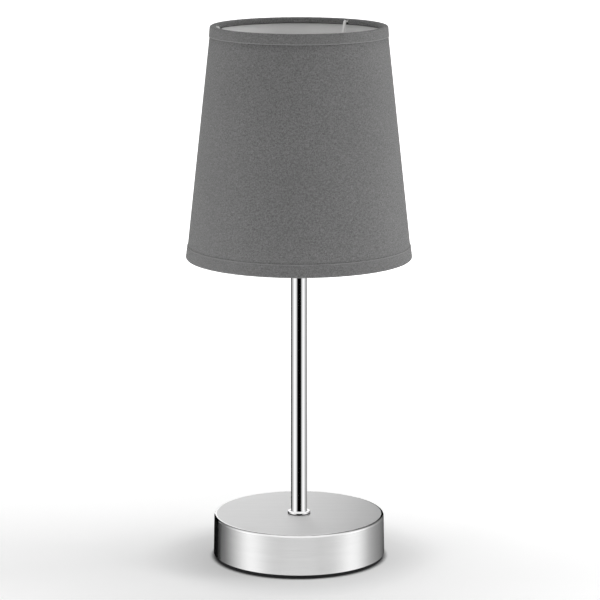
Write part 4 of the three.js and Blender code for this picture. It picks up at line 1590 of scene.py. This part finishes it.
    def band_path(self, hem: Hem) -> np.ndarray:
        """Returns the middle of a band's section, from its free edge over the fold to its curl.

        Args:
            hem: Which hem.

        Returns:
            Radius and height of each point.
        """
        up, level = hem.value, self.level(hem)
        band = self.top_band if hem is Hem.TOP else self.bottom_band
        edge = level + up * (self.fold + self.skin_gap)
        free, bend = edge - up * band, edge - up * self.fold
        half = self.binding / 2
        middle = self.fold - half
        outer_fold = float(self.radius_at(level)) + self.skin_gap + self.wire_gap + self.binding - self.fold
        inner_fold = self.wire_circle(hem) - self.skin_gap
        start = (float(self.radius_at(free)) + self.skin_gap + half, free)
        outer = along(start, (outer_fold + middle, bend), self.band_step)
        over = on_arc((outer_fold, bend), middle, 0.0, up * 90.0, 12)[1:]
        across = along(over[-1], (inner_fold, edge - up * half), self.band_step)[1:]
        down = on_arc((inner_fold, bend), middle, up * 90.0, up * 180.0, 12)[1:]
        leg_end = (down[-1][0] + self.leg_lean, bend - up * self.leg_fall)
        curl_end = (inner_fold + self.curl_reach, bend - up * self.turned_leg)
        leg = along(down[-1], leg_end, self.leg_step)[1:]
        curl = on_bezier([leg_end, (leg_end[0], leg_end[1] - up * self.curl_reach), curl_end], 6)[1:]
        return np.array([*outer, *over, *across, *down, *leg, *curl])

    def _notch(self, angles: np.ndarray, centre: float) -> np.ndarray:
        """Returns how much of the turned-in edge is cut away for the arms."""
        cut = np.zeros_like(angles)
        for bearing in self.arm_bearings:
            away = np.abs((angles - math.radians(90.0 - bearing) + math.pi) % FULL_TURN - math.pi) * centre
            cut = np.maximum(cut, np.clip((self.notch_half - away) / self.notch_slope, 0, 1))
        return cut * (self.turned_leg + self.notch_above)

    def ring(self, hem: Hem) -> Piece:
        """Builds a hem's wire ring."""
        name = f"{hem.label}_ring"
        profile = on_arc((self.wire_circle(hem), self.level(hem)), self.wire, 0.0, 360.0, 16)[:-1]
        return seat(lathed(name, profile, self.ring_sides), "shade", "white_wire", WHITE_COAT, f"{name}_wire")


@dataclass
class Fitter:
    """The flat fitter ring with three wire arms, and the ring that clamps it."""

    bore: float = 14.5 * MM
    plate_edge: float = 0.35 * MM
    arm_radius: float = 1.0 * MM
    foot_radius: float = 19.8 * MM
    knee: float = 24.0 * MM
    bend: float = 4.0 * MM
    weld_gap: float = 0.1 * MM
    foot_weld: Place = (1.5 * MM, 1.5 * MM, 0.5 * MM)
    foot_weld_out: float = 1.4 * MM
    foot_weld_up: float = 0.35 * MM
    top_weld: Place = (0.9 * MM, 0.7 * MM, 0.8 * MM)
    top_lean: float = 0.3 * MM
    arm_step: float = 8 * MM
    clamp_bore: float = 14.3 * MM
    clamp_edge: float = 0.6 * MM
    clamp_lead: float = 0.4 * MM
    thread_pitch: float = 2.0 * MM
    thread_depth: float = 0.6 * MM
    flutes: int = 24
    flute_depth: float = 0.6 * MM
    plate_sides: int = 128
    arm_sides: int = 20
    clamp_sides: int = 288
    arm_names: tuple[str, ...] = ("fitter_arm_rear_right", "fitter_arm_front_right", "fitter_arm_left")

    def build(self, shade: Shade) -> None:
        """Builds the fitter and its clamp ring.

        Args:
            shade: The shade whose top ring the arms reach.
        """
        self.plate()
        for number, bearing in enumerate(shade.arm_bearings):
            self.arm(shade, number, bearing)
        self.clamp()

    def plate(self) -> Piece:
        """Builds the stamped ring, its edges a little rounded."""
        low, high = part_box("fitter_ring")
        radius, edge = high.x, self.plate_edge
        profile = [
            *rounded((self.bore, low.z), edge, 180, 4),
            *rounded((radius, low.z), edge, -90, 4),
            *rounded((radius, high.z), edge, 0, 4),
            *rounded((self.bore, high.z), edge, 90, 4),
        ]
        plate = lathed("fitter_plate", profile, self.plate_sides)
        return seat(plate, "shade", "white_wire", WHITE_COAT, "fitter_ring")

    def arm(self, shade: Shade, number: int, bearing: float) -> Piece:
        """Builds one wire arm with its two weld beads.

        Args:
            shade: The shade whose top ring it reaches.
            number: Its place in the row of arms.
            bearing: Its bearing, in degrees from the rear towards +X.

        Returns:
            The arm.
        """
        plate_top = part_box("fitter_ring")[1].z
        foot = plate_top + self.weld_gap + self.arm_radius
        ring = shade.level(Hem.TOP)
        reach = shade.wire_circle(Hem.TOP) - shade.wire - self.weld_gap - self.arm_radius
        top = (reach, ring + self.top_lean)
        rise = math.atan2(top[1] - foot, top[0] - self.knee)
        tangent = self.bend * math.tan(rise / 2)
        centre = (self.knee - tangent, foot + self.bend)
        bend = on_arc(centre, self.bend, -90.0, math.degrees(rise) - 90.0, 16)
        path = [(self.foot_radius, foot), *bend, *along(bend[-1], top, self.arm_step)[1:]]
        turn = Matrix.Rotation(-math.radians(bearing), 3, "Z")
        foot_place = Vector((0.0, self.foot_radius + self.foot_weld_out, plate_top + self.foot_weld_up))
        top_place = Vector((0.0, reach + self.arm_radius, ring - self.top_lean))
        meshes = [
            swept("arm", path, self.arm_radius, self.arm_sides, bearing),
            weld_bead(turn @ foot_place, self.foot_weld, number),
            weld_bead(turn @ top_place, self.top_weld, 20 + number),
        ]
        piece = to_object(f"arm_{number + 1}", joined("arm", meshes))
        return seat(piece, "shade", "white_wire", WHITE_COAT, self.arm_names[number])

    def clamp(self) -> Piece:
        """Builds the fluted ring, threaded inside."""
        low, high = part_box("shade_ring")
        radius, bore, edge, lead = high.x, self.clamp_bore, self.clamp_edge, self.clamp_lead
        rim = radius - edge
        profile = [
            (bore + lead, low.z),
            *rounded((radius, low.z), edge, -90, 5),
            *rounded((radius, high.z), edge, 0, 5),
            (bore + lead, high.z),
            *along((bore, high.z - lead), (bore, low.z + lead), self.thread_pitch / 8),
        ]
        skin = (0.0, bore + 0.1 * MM)
        thread = screw_thread(self.thread_pitch, self.thread_depth, low.z, high.z, *skin, sign=-1.0)

        def fluted(theta: np.ndarray, r: np.ndarray, z: np.ndarray) -> np.ndarray:
            """Returns the radius with the thread inside and the flutes outside."""
            depth = self.flute_depth * (0.5 + 0.5 * np.cos(self.flutes * theta)) ** 2
            return thread(theta, r, z) - depth * np.clip((r - rim) / edge, 0, 1)

        clamp = lathed("clamp", profile, self.clamp_sides, fluted)
        return seat(clamp, "clamp_ring", "white_plastic", WHITE_PLASTIC, "shade_ring")


# Studio


LAMP_MIDDLE = (0.0, 0.0, 0.15)


def grey(level: float) -> tuple[float, ...]:
    """Returns an opaque grey."""
    return (level, level, level, 1.0)


@dataclass(frozen=True)
class SoftLight:
    """A square or oblong soft lamp."""

    name: str
    place: Place
    size: tuple[float, float]
    power: float
    aim: Place = LAMP_MIDDLE
    only_mirrored: bool = False

    def hang(self) -> Piece:
        """Puts the lamp in the scene."""
        lamp = bpy.data.lights.new(self.name, "AREA")
        lamp.shape = "RECTANGLE"
        lamp.size, lamp.size_y = self.size
        lamp.energy = self.power
        holder = bpy.data.objects.new(self.name, lamp)
        holder.location = self.place
        holder.rotation_euler = (Vector(self.aim) - Vector(self.place)).to_track_quat("-Z", "Y").to_euler()
        holder.visible_camera = False
        holder.visible_glossy = self.only_mirrored
        holder.visible_diffuse = not self.only_mirrored
        bpy.context.collection.objects.link(holder)
        return holder


@dataclass
class Studio:
    """The pale floor, the soft lamps, the surroundings that metal mirrors, and the camera."""

    lens: float = 168.8
    sensor: float = 36.0
    camera_place: Place = (0.0, -1.705, 0.501)
    pitch: float = 11.21
    frame_width: int = 600
    sideways: float = 1.0
    ambient: float = 0.54
    overhead: float = 1.05
    below: float = 0.62
    floor_size: float = 8.0
    floor_colour: float = 0.83
    contact_reach: float = 4 * MM
    stem_ring: tuple[Point, ...] = (
        (-180, 0.0), (-131, 0.0), (-127, 0.16), (-108, 0.42), (-87, 0.7), (-70, 1.08), (-52, 1.03),
        (-36, 0.7), (-23, 0.06), (-15, 0.0), (27.5, 0.0), (35.5, 0.4), (52, 0.92), (68, 1.08), (87, 0.86),
        (108, 0.38), (138, 0.3), (165, 0.14), (178, 0.0),
    )
    side_ring: tuple[Point, ...] = (
        (-180, 0.0), (-137, 0.0), (-136, 0.3), (-131, 0.22), (-126, 0.17), (-120, 0.2), (-106, 0.5),
        (-93, 0.83), (-82, 1.12), (-72, 1.26), (-62, 1.16), (-53, 0.97), (-44, 0.86), (-36, 0.81),
        (-27, 0.89), (-15, 0.95), (20, 0.94), (38, 0.83), (47, 0.8), (56, 0.88), (65, 1.04), (75, 1.25),
        (86, 1.24), (97, 0.99), (110, 0.62), (126, 0.385), (150, 0.175), (162, 0.0),
    )
    upper_ring: tuple[Point, ...] = (
        (-180, 0.12), (-140, 0.12), (-100, 0.8), (-60, 1.05), (60, 1.05), (100, 0.8), (140, 0.12),
    )
    lamps: tuple[SoftLight, ...] = (
        SoftLight("left", (-1.41, -0.82, 0.86), (0.6, 0.6), 1.1),
        SoftLight("low_left", (-0.6, -0.15, 0.1), (0.3, 0.3), 0.36),
        SoftLight("near_left", (-0.32, -0.3, 0.1), (0.15, 0.15), 0.41),
        SoftLight("low_right", (0.6, -0.2, 0.15), (0.3, 0.3), 1.2),
        SoftLight("right", (1.66, -0.15, 0.77), (0.35, 0.35), 3.3),
        SoftLight("right_rear", (1.54, 0.27, 1.0), (0.35, 0.35), 2.5),
        SoftLight("overhead", (0.13, 0.75, 1.73), (0.8, 0.8), 2.0),
        SoftLight("rear_card", (-0.08, 0.55, 0.24), (0.29, 0.52), 0.54, (-0.08, 0.0, 0.24), True),
    )

    def build(self) -> None:
        """Builds the whole studio."""
        self.camera()
        self.floor()
        self.surroundings()
        for lamp in self.lamps:
            lamp.hang()
        bpy.context.scene.view_settings.view_transform = "Standard"
        LOGGER.info("studio: %d lamps", len(self.lamps))

    @staticmethod
    def light_only(lamp: str, *pieces: Piece) -> None:
        """Lets a lamp reach only the given pieces."""
        reached = bpy.data.collections.new(f"reached_by_{lamp}")
        for piece in pieces:
            reached.objects.link(piece)
        bpy.data.objects[lamp].light_linking.receiver_collection = reached

    def camera(self) -> None:
        """Places the camera at the photograph's viewing angle."""
        lens = bpy.data.cameras.new("camera")
        lens.lens = self.lens
        lens.sensor_width = self.sensor
        lens.shift_x = self.sideways / self.frame_width
        holder = bpy.data.objects.new("camera", lens)
        holder.location = self.camera_place
        holder.rotation_euler = (math.radians(90.0 - self.pitch), 0.0, 0.0)
        bpy.context.collection.objects.link(holder)
        bpy.context.scene.camera = holder

    def floor(self) -> None:
        """Lays the pale floor, with a painted contact shadow close to the pad and a painted shadow pool round
        the lamp.
        """
        half = self.floor_size / 2
        corners = [(-half, -half, 0.0), (half, -half, 0.0), (half, half, 0.0), (-half, half, 0.0)]
        mesh = bpy.data.meshes.new("floor")
        mesh.from_pydata(corners, [], [(0, 1, 2, 3)])
        floor = bpy.data.objects.new("floor", mesh)
        bpy.context.collection.objects.link(floor)
        material = bpy.data.materials.new("pale_floor")
        material.use_nodes = True
        material.node_tree.nodes.clear()
        graph = Graph(material.node_tree)
        grain = graph.noise(graph.place(), 6.0, 3.0)
        tone = graph.remap(grain, *TONE_RANGE, self.floor_colour * 0.99, self.floor_colour * 1.01)
        # Painted contact shadow: the floor's colour is darkened where ambient occlusion finds the pad close
        # by.
        near = graph.add("ShaderNodeAmbientOcclusion", {"Distance": self.contact_reach}, samples=8)
        shaded = graph.times(tone, graph.remap(near.outputs["AO"], 0.35, 0.95, 0.1, 1.0))
        colour = graph.add("ShaderNodeCombineColor", {0: shaded, 1: shaded, 2: shaded}).outputs[0]
        diffuse = graph.add("ShaderNodeBsdfDiffuse", {"Color": colour})
        # Painted light: a camera-only glow, weak round the lamp and strong away from it, leaves a painted
        # shadow pool.
        glow = graph.add("ShaderNodeEmission", {"Strength": self.floor_glow(graph)})
        both = graph.add("ShaderNodeAddShader", {0: diffuse.outputs[0], 1: glow.outputs[0]})
        graph.add("ShaderNodeOutputMaterial", {"Surface": both.outputs[0]})
        mesh.materials.append(material)
        floor.visible_glossy = False

    @staticmethod
    def floor_glow(graph: Graph) -> Socket:
        """Returns a camera-only glow that lifts the floor to white away from the lamp, to its right and
        behind it, leaving a painted shadow pool round the lamp.
        """
        x, y, _ = graph.split(graph.place())
        away = graph.math("SQRT", graph.plus(graph.times(x, x), graph.times(y, y)))
        painted_glow_spans = (
            (away, 0.055, 0.1, 0.153),
            (away, 0.06, 0.2, 0.035),
            (x, -0.05, 0.2, 0.098),
            (y, -0.06, 0.16, 0.217),
            (away, 0.2, 0.8, 0.6),
        )
        lift: Feed = 0.0
        for place, low, high, level in painted_glow_spans:
            lift = graph.plus(lift, graph.remap(place, low, high, 0.0, level))
        return graph.times(lift, graph.add("ShaderNodeLightPath").outputs["Is Camera Ray"])

    def surroundings(self) -> None:
        """Makes the world: white behind, soft light all round, and panels for metal to mirror."""
        world = bpy.data.worlds.new("studio")
        bpy.context.scene.world = world
        world.use_nodes = True
        world.node_tree.nodes.clear()
        graph = Graph(world.node_tree)
        x, y, z = graph.split(graph.add("ShaderNodeTexCoord").outputs["Generated"])
        bearing = graph.math("ARCTAN2", x, graph.times(y, -1.0))
        share = graph.math("MULTIPLY_ADD", bearing, 1 / FULL_TURN, 0.5)
        rise = graph.math("DEGREES", graph.math("ARCSINE", z))
        rings = (self.stem_ring, self.side_ring, self.upper_ring)
        level, around, above = (self.ring_of_panels(graph, share, ring) for ring in rings)
        mirrored = graph.tint(self.between(graph, rise, -16.8, -9.6, 1.0), around, level)
        mirrored = graph.tint(graph.remap(rise, 16.0, 30.0), mirrored, above)
        mirrored = graph.tint(graph.remap(rise, 66.0, 78.0), mirrored, grey(self.overhead))
        mirrored = graph.tint(graph.remap(rise, -70.0, -50.0, 1.0, 0.0), mirrored, grey(self.below))
        path = graph.add("ShaderNodeLightPath").outputs
        soft = graph.tint(path["Is Glossy Ray"], grey(self.ambient), mirrored)
        white = graph.math("MAXIMUM", path["Is Camera Ray"], path["Is Transmission Ray"])
        colour = graph.tint(white, soft, grey(1.0))
        background = graph.add("ShaderNodeBackground", {"Color": colour, "Strength": 1.0})
        graph.add("ShaderNodeOutputWorld", {"Surface": background.outputs[0]})

    @staticmethod
    def between(graph: Graph, rise: Socket, low: float, high: float, soft: float) -> Socket:
        """Returns a mask of the directions that rise by an angle in a range.

        Args:
            graph: The world's nodes.
            rise: The direction's angle above the horizon, in degrees.
            low: Where the range starts.
            high: Where it ends.
            soft: How many degrees its edges take.
        """
        over = graph.remap(rise, low - soft / 2, low + soft / 2)
        under = graph.remap(rise, high - soft / 2, high + soft / 2, 1.0, 0.0)
        return graph.times(over, under)

    @staticmethod
    def ring_of_panels(graph: Graph, share: Socket, stops: Sequence[Point]) -> Socket:
        """Returns the brightness of a ring of panels and dark flags.

        Args:
            graph: The world's nodes.
            share: The bearing as a share of the full turn.
            stops: Bearings in degrees from the camera towards +X, with their brightness.
        """
        ramp = graph.add("ShaderNodeValToRGB", {0: share})
        elements = ramp.color_ramp.elements
        while len(elements) > 1:
            elements.remove(elements[-1])
        for number, (bearing, level) in enumerate(stops):
            place = bearing / 360.0 + 0.5
            element = elements[0] if number == 0 else elements.new(place)
            element.position = place
            element.color = grey(level)
        return ramp.outputs[0]


def main() -> None:
    """Builds the studio and then the lamp, from its base to its shade."""
    logging.basicConfig(level=logging.INFO, format="%(name)s %(message)s")
    studio = Studio()
    studio.build()
    cover, collar = Base().build(), Stem().build()
    studio.light_only("rear_card", cover, collar)
    Lampholder().build()
    Bulb().build()
    shade = Shade()
    shade.build()
    Fitter().build(shade)


if __name__ == "__main__":
    main()
